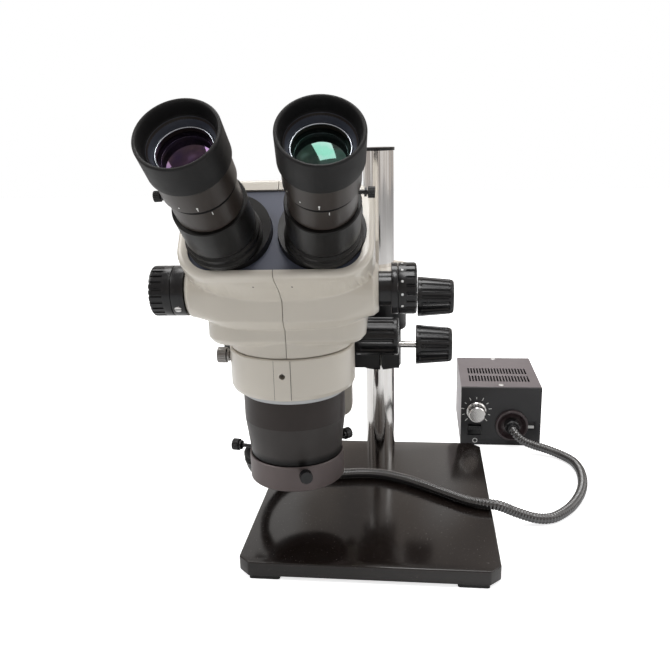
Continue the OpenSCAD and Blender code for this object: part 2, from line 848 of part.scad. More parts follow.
module ring_light_housing() {
  top = ringlight_z + ringlight_h;
  color([0.42, 0.36, 0.34]) head_frame_place() difference() {
    rotate_extrude() polygon([[28, ringlight_z], [29.2, ringlight_z], [29.2, ringlight_z + 2.4], [33.2, ringlight_z + 2.4],
      [33.2, ringlight_z], [ringlight_r - 0.5, ringlight_z], [ringlight_r, ringlight_z + 0.5],
      [ringlight_r, top - 0.4], [ringlight_r - 0.4, top], [34.3, top], [34.3, ringlight_z + 9], [28, ringlight_z + 9]]);
    for (a = screw_turns) {
      rotate([0, 0, a]) translate([0, -33, screw_level]) rotate([90, 0, 0]) cylinder(h = 4, r = 1.5 + running);
    }
    rotate([0, 0, stub_turn]) translate([0, -30, stub_z]) rotate([90, 0, 0]) cylinder(h = 6, r = 4);
  }
  color([0.42, 0.36, 0.34]) head_frame_place() rotate([0, 0, stub_turn]) translate([0, -34.9, stub_z]) rotate([90, 0, 0])
    cylinder(h = stub_end - 34.9, r = 6.5);
}

module ring_light_window() {
  color(glass_color) head_frame_place() rotate_extrude()
    polygon([[29.2, ringlight_z + 0.3], [33.2, ringlight_z + 0.3], [33.2, ringlight_z + 2.4], [29.2, ringlight_z + 2.4]]);
}

module ring_screw(turn, reach) {
  color(black_color) head_frame_place() rotate([0, 0, turn]) translate([0, -34.35, screw_level]) rotate([90, 0, 0])
    thumb_screw(reach, 1.5, 5.2, 4.6);
}

module ring_screw_front() {
  ring_screw(screw_turns[0], 7);
}

module ring_screw_right() {
  ring_screw(screw_turns[1], 14);
}

module ring_screw_left() {
  ring_screw(screw_turns[2], 14);
}

// ---- light guide -----------------------------------------------------------

guide_r = 4.1;
port_x = 124.6;
port_z = 21.9;
rest_z = plate_top + guide_r + 0.3;
bench_z = guide_r + 0.2;

boot_r = 6.4;

// Corner points of the guide's path, from the ring light to the lamp box.
guide_path = [
  [-98.2, -97.2, 57], [-100.5, -93, 47], [-98, -84, 35], [-90, -72, 25], [-78, -62, rest_z + 1], [-60, -55, rest_z],
  [-31, -51.7, rest_z], [-15.6, -49.2, rest_z], [1.7, -49.8, rest_z], [19.1, -56.3, rest_z], [36, -66.4, rest_z],
  [56.2, -81, rest_z], [75.4, -94, rest_z], [87, -98, rest_z + 0.1], [95.6, -98.8, rest_z], [101, -98, rest_z - 3.4],
  [105.8, -96.4, 9.4], [112, -94.9, bench_z + 0.8], [120, -95, bench_z], [129.9, -95.5, bench_z], [138.5, -92.6, bench_z],
  [146, -87, bench_z], [156.7, -74.6, bench_z], [166.8, -56.5, bench_z], [174, -37, bench_z], [177.9, -16.3, bench_z],
  [178.4, 2, bench_z], [175, 16, bench_z], [167, 27, bench_z + 0.5], [156, 33.5, bench_z + 2.5], [144, 36.5, 9.5],
  [134, 37.5, 13.5], [127.5, 39.2, 18], [port_x + 0.2, 43, port_z - 0.6], [port_x, 45.5, port_z]];

module guide_ball(p, r) {
  translate(p) sphere(r = r, $fn = 14);
}

module light_guide() {
  color(black_color) {
    head_frame_place() rotate([0, 0, stub_turn]) translate([0, -stub_end - 0.05, stub_z]) rotate([90, 0, 0])
      cylinder(h = 5, r = boot_r, $fn = 32);
    hull() {
      head_frame_place() rotate([0, 0, stub_turn]) translate([0, -stub_end - 3, stub_z]) rotate([90, 0, 0])
        cylinder(h = 4, r = boot_r, $fn = 32);
      guide_ball(guide_path[0], 5.6);
    }
    for (k = [0 : len(guide_path) - 2]) {
      hull() {
        guide_ball(guide_path[k], k < 1 ? 5.6 : guide_r);
        guide_ball(guide_path[k + 1], guide_r);
      }
    }
  }
}

// ---- lamp box --------------------------------------------------------------

sheet = 1.2;
panel_thick = 3;
flange_port_r = 15.6;
plug_r = 7.1;
dial_x = 90.4;
dial_z = 36.3;
switch_x = 89.1;
switch_z = 16.4;

module source_chassis() {
  inner_x = box_x + sheet + 0.2;
  inner_w = box_w - 2 * sheet - 0.4;
  back = box_y + box_d;
  color([0.6, 0.6, 0.62]) {
    translate([inner_x, box_y + panel_thick + 0.1, 0]) cube([inner_w, box_d - panel_thick - 0.2, 1.5]);
    translate([inner_x, back - 1.6, 0.5]) cube([inner_w, 1.5, box_h - sheet - 1]);
    translate([port_x - 20, 92, 1]) cube([40, 2, 30]);
  }
}

module source_cover() {
  start = box_y + panel_thick + 0.1;
  len = box_d - panel_thick - 0.1;
  color([0.36, 0.33, 0.33]) difference() {
    translate([box_x, start, 0.4]) cube([box_w, len, box_h - 0.4]);
    translate([box_x + sheet, start - 1, -1]) cube([box_w - 2 * sheet, len + 2, box_h - sheet + 1]);
    for (row = [0, 1]) {
      for (k = [0 : 19]) {
        translate([box_x + 9 + k * 3, start + 16 + row * 24, box_h - 3]) cube([1.4, 18, 6]);
      }
    }
    for (p = [[box_x + box_w / 2, start + 4], [box_x + box_w / 2, start + len - 5]]) {
      translate([p[0], p[1], box_h - 3]) cylinder(h = 6, r = 1.3);
    }
  }
}

module source_front_panel() {
  color([0.17, 0.17, 0.18]) difference() {
    union() {
      translate([box_x, box_y, 0.4]) cube([box_w, panel_thick, box_h - 0.4]);
      translate([port_x, box_y + 1, port_z]) rotate([90, 0, 0]) cylinder(h = 4, r = flange_port_r);
    }
    translate([port_x, box_y - 5, port_z]) rotate([-90, 0, 0]) cylinder(h = 12, r = plug_r + 0.1);
    translate([dial_x, box_y - 1, dial_z]) rotate([-90, 0, 0]) cylinder(h = 6, r = 3 + running);
    translate([switch_x - 6.6, box_y - 1, switch_z - 5.8]) cube([13.2, 6, 11.6]);
  }
}

module brightness_knob() {
  color(steel_color) translate([dial_x, box_y - 0.4, dial_z]) rotate([90, 0, 0]) {
    difference() {
      rotate_extrude() polygon([[0, 0], [9.5, 0], [9.5, 2], [8.4, 3], [7.8, 11.2], [7, 12], [0, 12]]);
      for (k = [0 : 19]) {
        rotate([0, 0, k * 18]) translate([8.75, 0, 3]) cylinder(h = 10, r = 0.7, $fn = 16);
      }
    }
    translate([0, 0, -12]) cylinder(h = 13, r = 3);
  }
}

module rocker_switch() {
  color(black_color) translate([switch_x, box_y, switch_z]) difference() {
    rotate([90, 0, 90]) translate([0, 0, -6.2]) linear_extrude(12.4) {
      polygon([[-2.2, 4.6], [-0.6, 0], [-0.8, -4.6], [6, -4.4], [8, 0], [6, 4.4]]);
    }
    translate([-10, 8, 0]) along_x() cylinder(h = 20, r = 1);
  }
}

module guide_plug() {
  color([0.3, 0.3, 0.32]) translate([port_x, box_y + 14, port_z]) rotate([90, 0, 0]) {
    cylinder(h = 19, r = plug_r);
    translate([0, 0, 18]) cylinder(h = 2, r = plug_r - 1.4);
  }
}

module lamp() {
  color([0.8, 0.8, 0.75]) translate([port_x, 75, port_z]) rotate([-90, 0, 0]) difference() {
    rotate_extrude() polygon([[0, 14], [15.5, 0], [17, 0], [17, 1.5], [6, 14], [4, 16.5], [0, 16.5]]);
    translate([0, 0, -1]) cylinder(h = 2, r = 2);
  }
}

// ---- drawing ---------------------------------------------------------------

base_plate();
base_feet();
pole();
pole_cap();
pole_bolt();
collar_liner();
stop_collar();
collar_clamp_screw();
collar_clamp_knob();
arm_sleeve();
sleeve_top_ring();
focus_housing();
arm_bolts();
arm_clamp_screw();
arm_clamp_knob();
pinion_shaft();
focus_knobs();
focus_slide();
rack();
head_ring();
head_clamp_screw();
head_frame();
left_cover();
right_cover();
top_panel();
objective_barrel();
barrel_cone();
objective_lenses();
zoom_carriers();
zoom_shaft();
zoom_knob_left();
zoom_knob_right();
zoom_flanges();
prism_housing_left();
prism_housing_right();
prism_left();
prism_right();
eyepiece_left();
eyepiece_right();
diopter_ring_left();
diopter_ring_right();
eyecup_left();
eyecup_right();
eye_lens_left();
eye_lens_right();
lock_screw_left();
lock_screw_right();
ring_light_housing();
ring_light_window();
ring_screw_front();
ring_screw_left();
ring_screw_right();
light_guide();
source_chassis();
source_cover();
source_front_panel();
brightness_knob();
rocker_switch();
guide_plug();
lamp();
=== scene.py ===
import math

import bmesh
import bpy
from mathutils import Matrix, Vector


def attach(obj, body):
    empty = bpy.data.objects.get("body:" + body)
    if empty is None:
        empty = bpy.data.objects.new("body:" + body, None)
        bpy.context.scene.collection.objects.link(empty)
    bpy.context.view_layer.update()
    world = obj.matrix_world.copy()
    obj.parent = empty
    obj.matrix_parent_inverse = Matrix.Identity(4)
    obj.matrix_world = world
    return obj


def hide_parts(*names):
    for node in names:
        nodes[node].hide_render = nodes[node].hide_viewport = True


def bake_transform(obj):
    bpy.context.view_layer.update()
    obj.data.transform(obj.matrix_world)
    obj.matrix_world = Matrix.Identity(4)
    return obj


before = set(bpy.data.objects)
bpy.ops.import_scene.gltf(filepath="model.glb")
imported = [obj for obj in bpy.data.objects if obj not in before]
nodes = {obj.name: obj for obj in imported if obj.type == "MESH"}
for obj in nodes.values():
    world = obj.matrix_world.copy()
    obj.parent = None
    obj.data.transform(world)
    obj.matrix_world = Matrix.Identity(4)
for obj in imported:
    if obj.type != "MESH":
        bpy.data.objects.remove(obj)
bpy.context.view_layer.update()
MM = 0.001

# The head stands in a ring and is turned a little about the ring's axis.
HEAD_X, HEAD_Y = -57.5, -118.0
HEAD_TURN = math.radians(2.5)
# The inclined top face carries two tubes that lean apart.
FACE_Y, FACE_Z = -55.2, 247.7
FACE_TILT = math.radians(48.5)
LEAN = math.radians(3.5)
EYE_HALF_GAP, TUBE_LENGTH = 36.8, 98
TUBE_X = EYE_HALF_GAP - TUBE_LENGTH * math.sin(LEAN)
TUBE_Y = -9.8
# Each prism housing turns on a pivot beside its tube.
PIVOT_OFFSET, PIVOT_ANGLE = 5.2, math.radians(75)
PIVOT_X = TUBE_X - PIVOT_OFFSET * math.cos(PIVOT_ANGLE)
PIVOT_Y = TUBE_Y + PIVOT_OFFSET * math.sin(PIVOT_ANGLE)
ZOOM_Y, ZOOM_Z = -34.0, 202.0
ZOOM_R = 17.1


def shift(x, y, z):
    """A move by millimetres."""
    return Matrix.Translation((x * MM, y * MM, z * MM))


HEAD = shift(HEAD_X, HEAD_Y, 0) @ Matrix.Rotation(HEAD_TURN, 4, "Z")
FACE = HEAD @ shift(0, FACE_Y, FACE_Z) @ Matrix.Rotation(FACE_TILT, 4, "X")


def tube_frame(side):
    """Up an eyepiece tube: local Z along the tube from the top face, side -1 left, 1 right."""
    return FACE @ shift(side * TUBE_X, TUBE_Y, 0) @ Matrix.Rotation(side * LEAN, 4, "Y")


# ---- materials ---------------------------------------------------------------

def new_mat(name):
    m = bpy.data.materials.new(name)
    m.use_nodes = True
    nt = m.node_tree
    bsdf = nt.nodes["Principled BSDF"]
    return m, nt, bsdf


def put(bsdf, key, value):
    if key in bsdf.inputs:
        bsdf.inputs[key].default_value = value


def noise(nt, coords, scale, detail=4.0, rough=0.55):
    n = nt.nodes.new("ShaderNodeTexNoise")
    n.inputs["Scale"].default_value = scale
    n.inputs["Detail"].default_value = detail
    n.inputs["Roughness"].default_value = rough
    nt.links.new(coords, n.inputs["Vector"])
    return n.outputs["Fac"]


def ramp(nt, fac, stops):
    r = nt.nodes.new("ShaderNodeValToRGB")
    while len(r.color_ramp.elements) < len(stops):
        r.color_ramp.elements.new(0.5)
    for e, (p, c) in zip(r.color_ramp.elements, stops):
        e.position = p
        e.color = (*c, 1) if len(c) == 3 else c
    nt.links.new(fac, r.inputs["Fac"])
    return r.outputs["Color"]


def blend(nt, fac, a, b):
    """A mixed colour; fac, a and b are sockets or plain values."""
    mix = nt.nodes.new("ShaderNodeMix")
    mix.data_type = "RGBA"
    for slot, value in ((0, fac), (6, a), (7, b)):
        if isinstance(value, bpy.types.NodeSocket):
            nt.links.new(value, mix.inputs[slot])
        else:
            mix.inputs[slot].default_value = value
    return mix.outputs[2]


def scaled(nt, value, k):
    n = nt.nodes.new("ShaderNodeMath")
    n.operation = "MULTIPLY"
    nt.links.new(value, n.inputs[0])
    n.inputs[1].default_value = k
    return n.outputs[0]


def object_coords(nt):
    return nt.nodes.new("ShaderNodeTexCoord").outputs["Object"]


def grey(v):
    return (v, v, v)


def finish_mat(name, color, rough, metal=0.0, vary=0.06, vary_scale=18.0, grain=900.0, grain_h=0.02,
               rough_vary=0.08, spec=0.5, coat=0.0, coat_rough=0.2, speck=None):
    """A finish with broad colour drift, fine surface grain and uneven roughness, all from noise."""
    m, nt, b = new_mat(name)
    co = object_coords(nt)
    drift = noise(nt, co, vary_scale, 3)
    lo = tuple(max(0.0, c * (1 - vary)) for c in color)
    hi = tuple(min(1.0, c * (1 + vary)) for c in color)
    col = ramp(nt, drift, [(0.3, lo), (0.7, hi)])
    fine = noise(nt, co, grain, 2)
    if speck:
        size, level, speck_color = speck
        dots = ramp(nt, noise(nt, co, size, 1), [(level, grey(0)), (level + 0.03, grey(1))])
        col = blend(nt, dots, col, (*speck_color, 1))
    nt.links.new(col, b.inputs["Base Color"])
    rr = ramp(nt, noise(nt, co, vary_scale * 2.3, 4),
              [(0.25, grey(max(0.02, rough - rough_vary))), (0.75, grey(min(1, rough + rough_vary)))])
    nt.links.new(rr, b.inputs["Roughness"])
    bp = nt.nodes.new("ShaderNodeBump")
    bp.inputs["Strength"].default_value = 0.6
    bp.inputs["Distance"].default_value = grain_h * MM
    nt.links.new(fine, bp.inputs["Height"])
    nt.links.new(bp.outputs["Normal"], b.inputs["Normal"])
    put(b, "Metallic", metal)
    put(b, "Specular IOR Level", spec)
    put(b, "Coat Weight", coat)
    put(b, "Coat Roughness", coat_rough)
    return m


SHELL = (0.62, 0.575, 0.50)
SHELL_FINISH = dict(vary=0.025, grain=1400, grain_h=0.012, coat=0.5, coat_rough=0.14)
# Each finish: its name, colour, roughness and what else sets it apart.
FINISHES = {
    "shell": ("shell_paint", SHELL, 0.34, SHELL_FINISH),
    "panel": ("panel_grain", (0.075, 0.083, 0.118), 0.5, dict(vary=0.05, grain=2200, grain_h=0.05)),
    "bronze": ("bronze_black", (0.030, 0.023, 0.019), 0.34,
               dict(vary=0.12, grain=1500, grain_h=0.01, spec=0.4)),
    "tube": ("tube_black", (0.007, 0.0065, 0.006), 0.38, dict(vary=0.1, grain=1400, spec=0.3)),
    "barrel": ("barrel_black", (0.026, 0.019, 0.017), 0.4, dict(vary=0.1, grain=1600, spec=0.3)),
    "cone": ("barrel_grey", (0.042, 0.037, 0.035), 0.42, dict(vary=0.1, grain=1600, spec=0.3)),
    "cup": ("cup_rubber", (0.0065, 0.0062, 0.0064), 0.55,
            dict(vary=0.15, grain=900, grain_h=0.06, spec=0.28, rough_vary=0.1)),
    "knob": ("knob_plastic", (0.008, 0.008, 0.009), 0.24,
             dict(vary=0.12, grain=1200, grain_h=0.03, spec=0.4)),
    "cast": ("cast_black", (0.007, 0.007, 0.008), 0.42, dict(vary=0.12, grain=700, grain_h=0.08, spec=0.35)),
    "steel": ("turned_steel", (0.62, 0.61, 0.60), 0.24, dict(metal=1, vary=0.05, grain=2500, grain_h=0.004)),
    "dull_steel": ("dull_steel", (0.27, 0.26, 0.25), 0.34,
                   dict(metal=1, vary=0.08, grain=2500, grain_h=0.004)),
    "brass": ("machined_brass", (0.62, 0.45, 0.20), 0.3, dict(metal=1, vary=0.05, grain=1500, grain_h=0.005)),
    "alu": ("cast_aluminium", (0.45, 0.46, 0.47), 0.5, dict(metal=0.9, grain=500, grain_h=0.1)),
    "base": ("base_enamel", (0.010, 0.007, 0.006), 0.15,
             dict(vary=0.15, vary_scale=7, grain=1200, grain_h=0.006, rough_vary=0.06, spec=0.45, coat=0.15,
                  coat_rough=0.12, speck=(900, 0.73, (0.10, 0.09, 0.085)))),
    "rubber": ("pad_rubber", (0.02, 0.02, 0.02), 0.75, dict(grain=600, grain_h=0.1)),
    "nylon": ("nylon_liner", (0.62, 0.61, 0.57), 0.5, {}),
    "ring": ("ring_light_grey", (0.115, 0.092, 0.090), 0.42, dict(metal=0.3, grain=1500, grain_h=0.012)),
    "sheath": ("guide_sheath", (0.009, 0.009, 0.010), 0.20,
               dict(vary=0.2, vary_scale=60, grain_h=0.01, spec=1.0, coat=0.8, coat_rough=0.08)),
    "box": ("box_paint", (0.21, 0.185, 0.195), 0.34, dict(metal=0.4, grain_h=0.06)),
    "boxfront": ("box_front", (0.020, 0.020, 0.022), 0.45, dict(vary=0.08, grain=1100, grain_h=0.04)),
    "white": ("white_mark", (0.75, 0.75, 0.73), 0.5, dict(grain_h=0.01)),
    "lamp": ("lamp_reflector", (0.8, 0.8, 0.76), 0.12, dict(metal=1, grain=700, grain_h=0.01)),
    "bezel": ("lens_bezel", (0.62, 0.66, 0.72), 0.24, dict(metal=0.8, vary=0.1, grain=1500, grain_h=0.004)),
    "seat": ("lens_seat", (0.055, 0.062, 0.085), 0.42, dict(vary=0.1, grain=1500, grain_h=0.01, spec=0.6)),
    # matte black for the painted shade in the eyepiece joints
    "line": ("painted_groove_shade", (0.004, 0.004, 0.004), 0.7, dict(vary=0.1, spec=0.1)),
    "seam": ("seam_shadow", (0.10, 0.09, 0.08), 0.7, dict(vary=0.1)),
    "port": ("port_dark", (0.045, 0.030, 0.032), 0.3, dict(vary=0.15, grain=1200, grain_h=0.01, spec=0.6)),
    "screw": ("zinc_screw", (0.8, 0.8, 0.8), 0.3, dict(metal=0.9, vary=0.05, grain=1500, grain_h=0.006)),
}
M = {key: finish_mat(name, color, rough, **more) for key, (name, color, rough, more) in FINISHES.items()}


def chrome_mat():
    """Polished pole: faint lengthwise polishing marks and a slightly warm, uneven tint."""
    m, nt, b = new_mat("pole_chrome")
    mp = nt.nodes.new("ShaderNodeMapping")
    mp.inputs["Scale"].default_value = (1, 1, 0.02)
    nt.links.new(object_coords(nt), mp.inputs["Vector"])
    streak = noise(nt, mp.outputs["Vector"], 900, 3)
    tint = ramp(nt, streak, [(0.3, (0.66, 0.64, 0.62)), (0.7, (0.78, 0.77, 0.76))])
    nt.links.new(tint, b.inputs["Base Color"])
    nt.links.new(ramp(nt, streak, [(0.3, grey(0.07)), (0.7, grey(0.14))]), b.inputs["Roughness"])
    put(b, "Metallic", 1.0)
    return m


M["chrome"] = chrome_mat()


def glass_mat(name, tint, glow, sheen):
    """Coated lens: dark glass that mirrors in the colour of its coating, a little cloudy."""
    m, nt, b = new_mat(name)
    co = object_coords(nt)
    cloud = noise(nt, co, 55, 2)
    nt.links.new(ramp(nt, cloud, [(0.42, tint), (0.75, glow)]), b.inputs["Base Color"])
    nt.links.new(ramp(nt, cloud, [(0, grey(0.02)), (1, grey(0.06))]), b.inputs["Roughness"])
    mirror = ramp(nt, noise(nt, co, 90, 2), [(0.35, sheen[0]), (0.65, sheen[1])])
    nt.links.new(mirror, b.inputs["Specular Tint"])
    put(b, "Specular IOR Level", 0.9)
    return m


M["lens_r"] = glass_mat("lens_green_coat", (0.003, 0.004, 0.004), (0.006, 0.012, 0.011),
                        ((0.35, 0.95, 0.72), (0.75, 1.0, 0.95)))
M["lens_l"] = glass_mat("lens_purple_coat", (0.003, 0.003, 0.004), (0.010, 0.006, 0.013),
                        ((0.62, 0.35, 0.95), (1.0, 0.6, 0.8)))
M["glass"] = glass_mat("plain_glass", (0.03, 0.04, 0.045), (0.08, 0.09, 0.09),
                       ((0.8, 0.9, 1.0), (1.0, 1.0, 1.0)))


def painted_shade_foot(m, z):
    """Blackens a finish below the height z in metres: painted shade where the foot of the cone goes down into
    the dark inside of the ring light.
    """
    nt = m.node_tree
    b = nt.nodes["Principled BSDF"]
    paint = b.inputs["Base Color"].links[0].from_socket
    sep = nt.nodes.new("ShaderNodeSeparateXYZ")
    nt.links.new(object_coords(nt), sep.inputs[0])
    above = ramp(nt, sep.outputs["Z"], [(z - 0.0004, grey(0)), (z + 0.0004, grey(1))])
    nt.links.new(blend(nt, above, (0.002, 0.002, 0.002, 1), paint), b.inputs["Base Color"])


# painted shade: the lower end of the cone is made near black where it sinks into the ring light
painted_shade_foot(M["cone"], 0.0765)

# The CAD nodes that wear each finish.
WEARERS = {
    "base": "base_plate",
    "rubber": "base_feet",
    "chrome": "pole",
    "knob": "pole_cap collar_clamp_knob arm_clamp_knob focus_knobs zoom_knob_left zoom_knob_right "
            "zoom_flanges lock_screw_left lock_screw_right ring_screw_front ring_screw_left "
            "ring_screw_right rocker_switch guide_plug",
    "steel": "pole_bolt collar_clamp_screw arm_bolts arm_clamp_screw pinion_shaft zoom_shaft brightness_knob",
    "dull_steel": "head_clamp_screw",
    "nylon": "collar_liner",
    "cast": "stop_collar arm_sleeve focus_housing",
    "shell": "sleeve_top_ring focus_slide head_ring left_cover right_cover",
    "brass": "rack zoom_carriers",
    "alu": "head_frame source_chassis",
    "panel": "top_panel",
    "barrel": "objective_barrel",
    "cone": "barrel_cone",
    "glass": "objective_lenses prism_left prism_right ring_light_window",
    "tube": "prism_housing_left prism_housing_right",
    "bronze": "eyepiece_left eyepiece_right diopter_ring_left diopter_ring_right",
    "cup": "eyecup_left eyecup_right",
    "lens_l": "eye_lens_left",
    "lens_r": "eye_lens_right",
    "ring": "ring_light_housing",
    "sheath": "light_guide",
    "box": "source_cover",
    "boxfront": "source_front_panel",
    "lamp": "lamp",
}
for key, names in WEARERS.items():
    for name in names.split():
        nodes[name].data.materials.clear()
        nodes[name].data.materials.append(M[key])


# ---- mesh helpers ------------------------------------------------------------

def add_mesh(name, verts, faces, mat, smooth=35, place=None, body=None):
    """A mesh given in millimetres, placed and put on its body."""
    me = bpy.data.meshes.new(name)
    me.from_pydata([tuple(c * MM for c in v) for v in verts], [], faces)
    bm = bmesh.new()
    bm.from_mesh(me)
    bmesh.ops.remove_doubles(bm, verts=bm.verts, dist=1e-7)
    bmesh.ops.recalc_face_normals(bm, faces=bm.faces)
    bm.to_mesh(me)
    bm.free()
    o = bpy.data.objects.new(name, me)
    bpy.context.scene.collection.objects.link(o)
    me.materials.append(mat)
    soften(o, smooth)
    if place is not None:
        me.transform(place)
    if body:
        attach(o, body)
    return o


def soften(o, angle=35):
    """Smooth shading that stays sharp at edges of more than the angle, degrees."""
    me = o.data
    for p in me.polygons:
        p.use_smooth = True
    bm = bmesh.new()
    bm.from_mesh(me)
    limit = math.radians(angle)
    for e in bm.edges:
        if len(e.link_faces) == 2:
            e.smooth = e.calc_face_angle(0) < limit
    bm.to_mesh(me)
    bm.free()


def lathe(profile, seg=96, flute=None):
    """Turns a closed outline of (r, z) points about Z. flute(angle, z, r) may change the radius."""
    verts, faces = [], []
    n = len(profile)
    for i in range(seg):
        a = 2 * math.pi * i / seg
        for r, z in profile:
            rr = flute(a, z, r) if flute else r
            verts.append((rr * math.cos(a), rr * math.sin(a), z))
    for i in range(seg):
        j = (i + 1) % seg
        for k in range(n):
            k2 = (k + 1) % n
            faces.append((i * n + k, j * n + k, j * n + k2, i * n + k2))
    return verts, faces


def hull_points(points):
    bm = bmesh.new()
    for p in points:
        bm.verts.new(p)
    res = bmesh.ops.convex_hull(bm, input=bm.verts)
    spare = [g for g in res["geom_interior"] + res["geom_unused"] if isinstance(g, bmesh.types.BMVert)]
    bmesh.ops.delete(bm, geom=list(set(spare)), context="VERTS")
    bmesh.ops.recalc_face_normals(bm, faces=bm.faces)
    me = bpy.data.meshes.new("hull")
    bm.to_mesh(me)
    bm.free()
    return me


def circle_outline(r, n=64, cx=0, cy=0):
    steps = [2 * math.pi * k / n for k in range(n)]
    return [(cx + r * math.cos(a), cy + r * math.sin(a)) for a in steps]


def disc_z(cx, cy, z, r):
    return [(x, y, z) for x, y in circle_outline(r, 40, cx, cy)]


def disc_x(x, cy, cz, r):
    return [(x, y, z) for y, z in circle_outline(r, 40, cy, cz)]


def modifier_mesh(o):
    """Applies every modifier of o to its mesh."""
    dg = bpy.context.evaluated_depsgraph_get()
    me = bpy.data.meshes.new_from_object(o.evaluated_get(dg))
    o.modifiers.clear()
    o.data = me


def temp(name, me):
    o = bpy.data.objects.new(name, me)
    bpy.context.scene.collection.objects.link(o)
    return o


def drop(o):
    bpy.data.objects.remove(o, do_unlink=True)


def carve(o, cutter, op="DIFFERENCE"):
    """Cuts the cutter out of o, or adds it, and removes the cutter."""
    mod = o.modifiers.new("cut", "BOOLEAN")
    mod.operation = op
    mod.solver = "EXACT"
    mod.object = cutter
    modifier_mesh(o)
    drop(cutter)


def dress(o, mat, smooth, body, *replaced):
    """Gives a cut mesh its finish and shading and puts it on its body."""
    o.data.materials.clear()
    o.data.materials.append(mat)
    soften(o, smooth)
    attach(o, body)
    if replaced:
        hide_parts(*replaced)


def bevelled(name, mesh, width, segments):
    """A mesh with rounded edges of the given width, mm."""
    o = temp(name, mesh)
    edge = o.modifiers.new("edge", "BEVEL")
    edge.width = width * MM
    edge.segments = segments
    modifier_mesh(o)
    return o


# ---- head covers ---------------------------------------------------------------

def face_point(x, y, z):
    """A point given on the inclined top face, in head coordinates, mm."""
    c, s = math.cos(FACE_TILT), math.sin(FACE_TILT)
    return (x, FACE_Y + y * c - z * s, FACE_Z + y * s + z * c)


def disc_point(side, x, y, z):
    """A point about the leaning axis that a prism housing turns on, head coordinates, mm."""
    c, s = math.cos(side * LEAN), math.sin(side * LEAN)
    return face_point(side * PIVOT_X + x * c + z * s, PIVOT_Y + y, z * c - x * s)


def clamp01(v):
    return max(0.0, min(1.0, v))


def front(y):
    """0 at the back of the head, 1 on its front, mm."""
    return clamp01((-y - 5) / 25)


def bend_band(x, y, z):
    """The band's lower edge rises a little towards the sides of the front."""
    rise = min(1.0, (x / 55) ** 2)
    return x, y, z + 4.6 * rise * front(y) * clamp01((187 - z) / 9)


def bend_flare(x, y, z):
    """The flare leaves the band along a brow that dips in the middle of the front."""
    rise = -4.5 + 13 * min(1.0, abs(x / 60)) ** 2.2
    return x, y, z + rise * front(y) * clamp01((208 - z) / 6)


def sliced_hull(points, bend=None):
    """A convex block, sliced every 4 mm across and bent where a bend is given."""
    me = hull_points(points)
    bm = bmesh.new()
    bm.from_mesh(me)
    if bend:
        for k in range(-15, 16):
            bmesh.ops.bisect_plane(bm, geom=bm.verts[:] + bm.edges[:] + bm.faces[:], plane_co=(k * 4, 0, 0),
                                   plane_no=(1, 0, 0))
        for v in bm.verts:
            v.co = bend(*v.co)
    bmesh.ops.triangulate(bm, faces=bm.faces)
    bm.to_mesh(me)
    bm.free()
    return me


def head_blocks(i):
    """The head's three convex blocks, moved in by i mm: lower step, zoom band, flare under the top face."""
    step, band, flare = [], [], []
    for sx in (-1, 1):
        for cy in (-23, 24):
            step += disc_z(sx * 33, cy, 165 + i, 19 - i) + disc_z(sx * 33, cy, 168.5 + i, 22 - i)
            step += disc_z(sx * 33, cy, 181, 22 - i)
        for cy in (-28, 16):
            band += disc_z(sx * 33, cy, 177.5 + i, 20 - i)
        for cy in (-28, 8):
            band += disc_z(sx * 38, cy, 184, 24.5 - i) + disc_z(sx * 38, cy, 204, 24.5 - i)
        band += disc_x(sx * (64 - i), ZOOM_Y, ZOOM_Z, 15.5 - i)
        band += disc_x(sx * (61 - i), ZOOM_Y, ZOOM_Z, 19.5 - i)
        for cy in (-28, 6):
            flare += disc_z(sx * 38, cy, 201, 23.5 - i) + disc_z(sx * 38, cy, 204, 23.5 - i)
        edge = [(0, 18.6), (-0.3, 19.9), (-1.0, 21.0), (-2.0, 21.7), (-3.4, 22), (-8, 22)]
        if i:
            edge = [(-i - 1, 12), (-3.5, 22 - i), (-8, 22 - i)]
        for sy in (-1, 1):
            for h, r in edge:
                flare += [face_point(x, y, h) for x, y in circle_outline(r, 40, sx * 40, sy * 14.8)]
    return [sliced_hull(step), sliced_hull(band, bend_band), sliced_hull(flare, bend_flare)]


def as_given(u, v, w):
    """Outline in XY, depth along Z, no change of unit."""
    return (u, v, w)


def flat(u, v, w):
    """Outline in XY, depth along Z, millimetres to metres."""
    return (u * MM, v * MM, w * MM)


def upright(u, v, w):
    """Outline in XZ, depth along Y, millimetres to metres."""
    return (u * MM, w * MM, v * MM)


def joined(name, meshes):
    bm = bmesh.new()
    for me in meshes:
        bm.from_mesh(me)
    me = bpy.data.meshes.new(name)
    bm.to_mesh(me)
    bm.free()
    return temp(name, me)


def prism_mesh(outline, to_point, lo, hi):
    """A closed prism over a flat outline; to_point turns (u, v, w) into a point."""
    n = len(outline)
    verts = [to_point(u, v, lo) for u, v in outline] + [to_point(u, v, hi) for u, v in outline]
    faces = [tuple(range(n))[::-1], tuple(range(n, 2 * n))]
    faces += [(k, (k + 1) % n, n + (k + 1) % n, n + k) for k in range(n)]
    me = bpy.data.meshes.new("prism")
    me.from_pydata(verts, [], faces)
    bm = bmesh.new()
    bm.from_mesh(me)
    bmesh.ops.recalc_face_normals(bm, faces=bm.faces)
    bmesh.ops.triangulate(bm, faces=bm.faces)
    bm.to_mesh(me)
    bm.free()
    return me


def round_outline(hx, hy, r, n=12, cx=0, cy=0):
    """A rectangle of half-sizes hx and hy with corners of radius r."""
    pts = []
    for ux, uy, a0 in ((1, 1, 0), (-1, 1, 90), (-1, -1, 180), (1, -1, 270)):
        for k in range(n + 1):
            a = math.radians(a0 + 90 * k / n)
            pts.append((cx + ux * (hx - r) + r * math.cos(a), cy + uy * (hy - r) + r * math.sin(a)))
    return pts


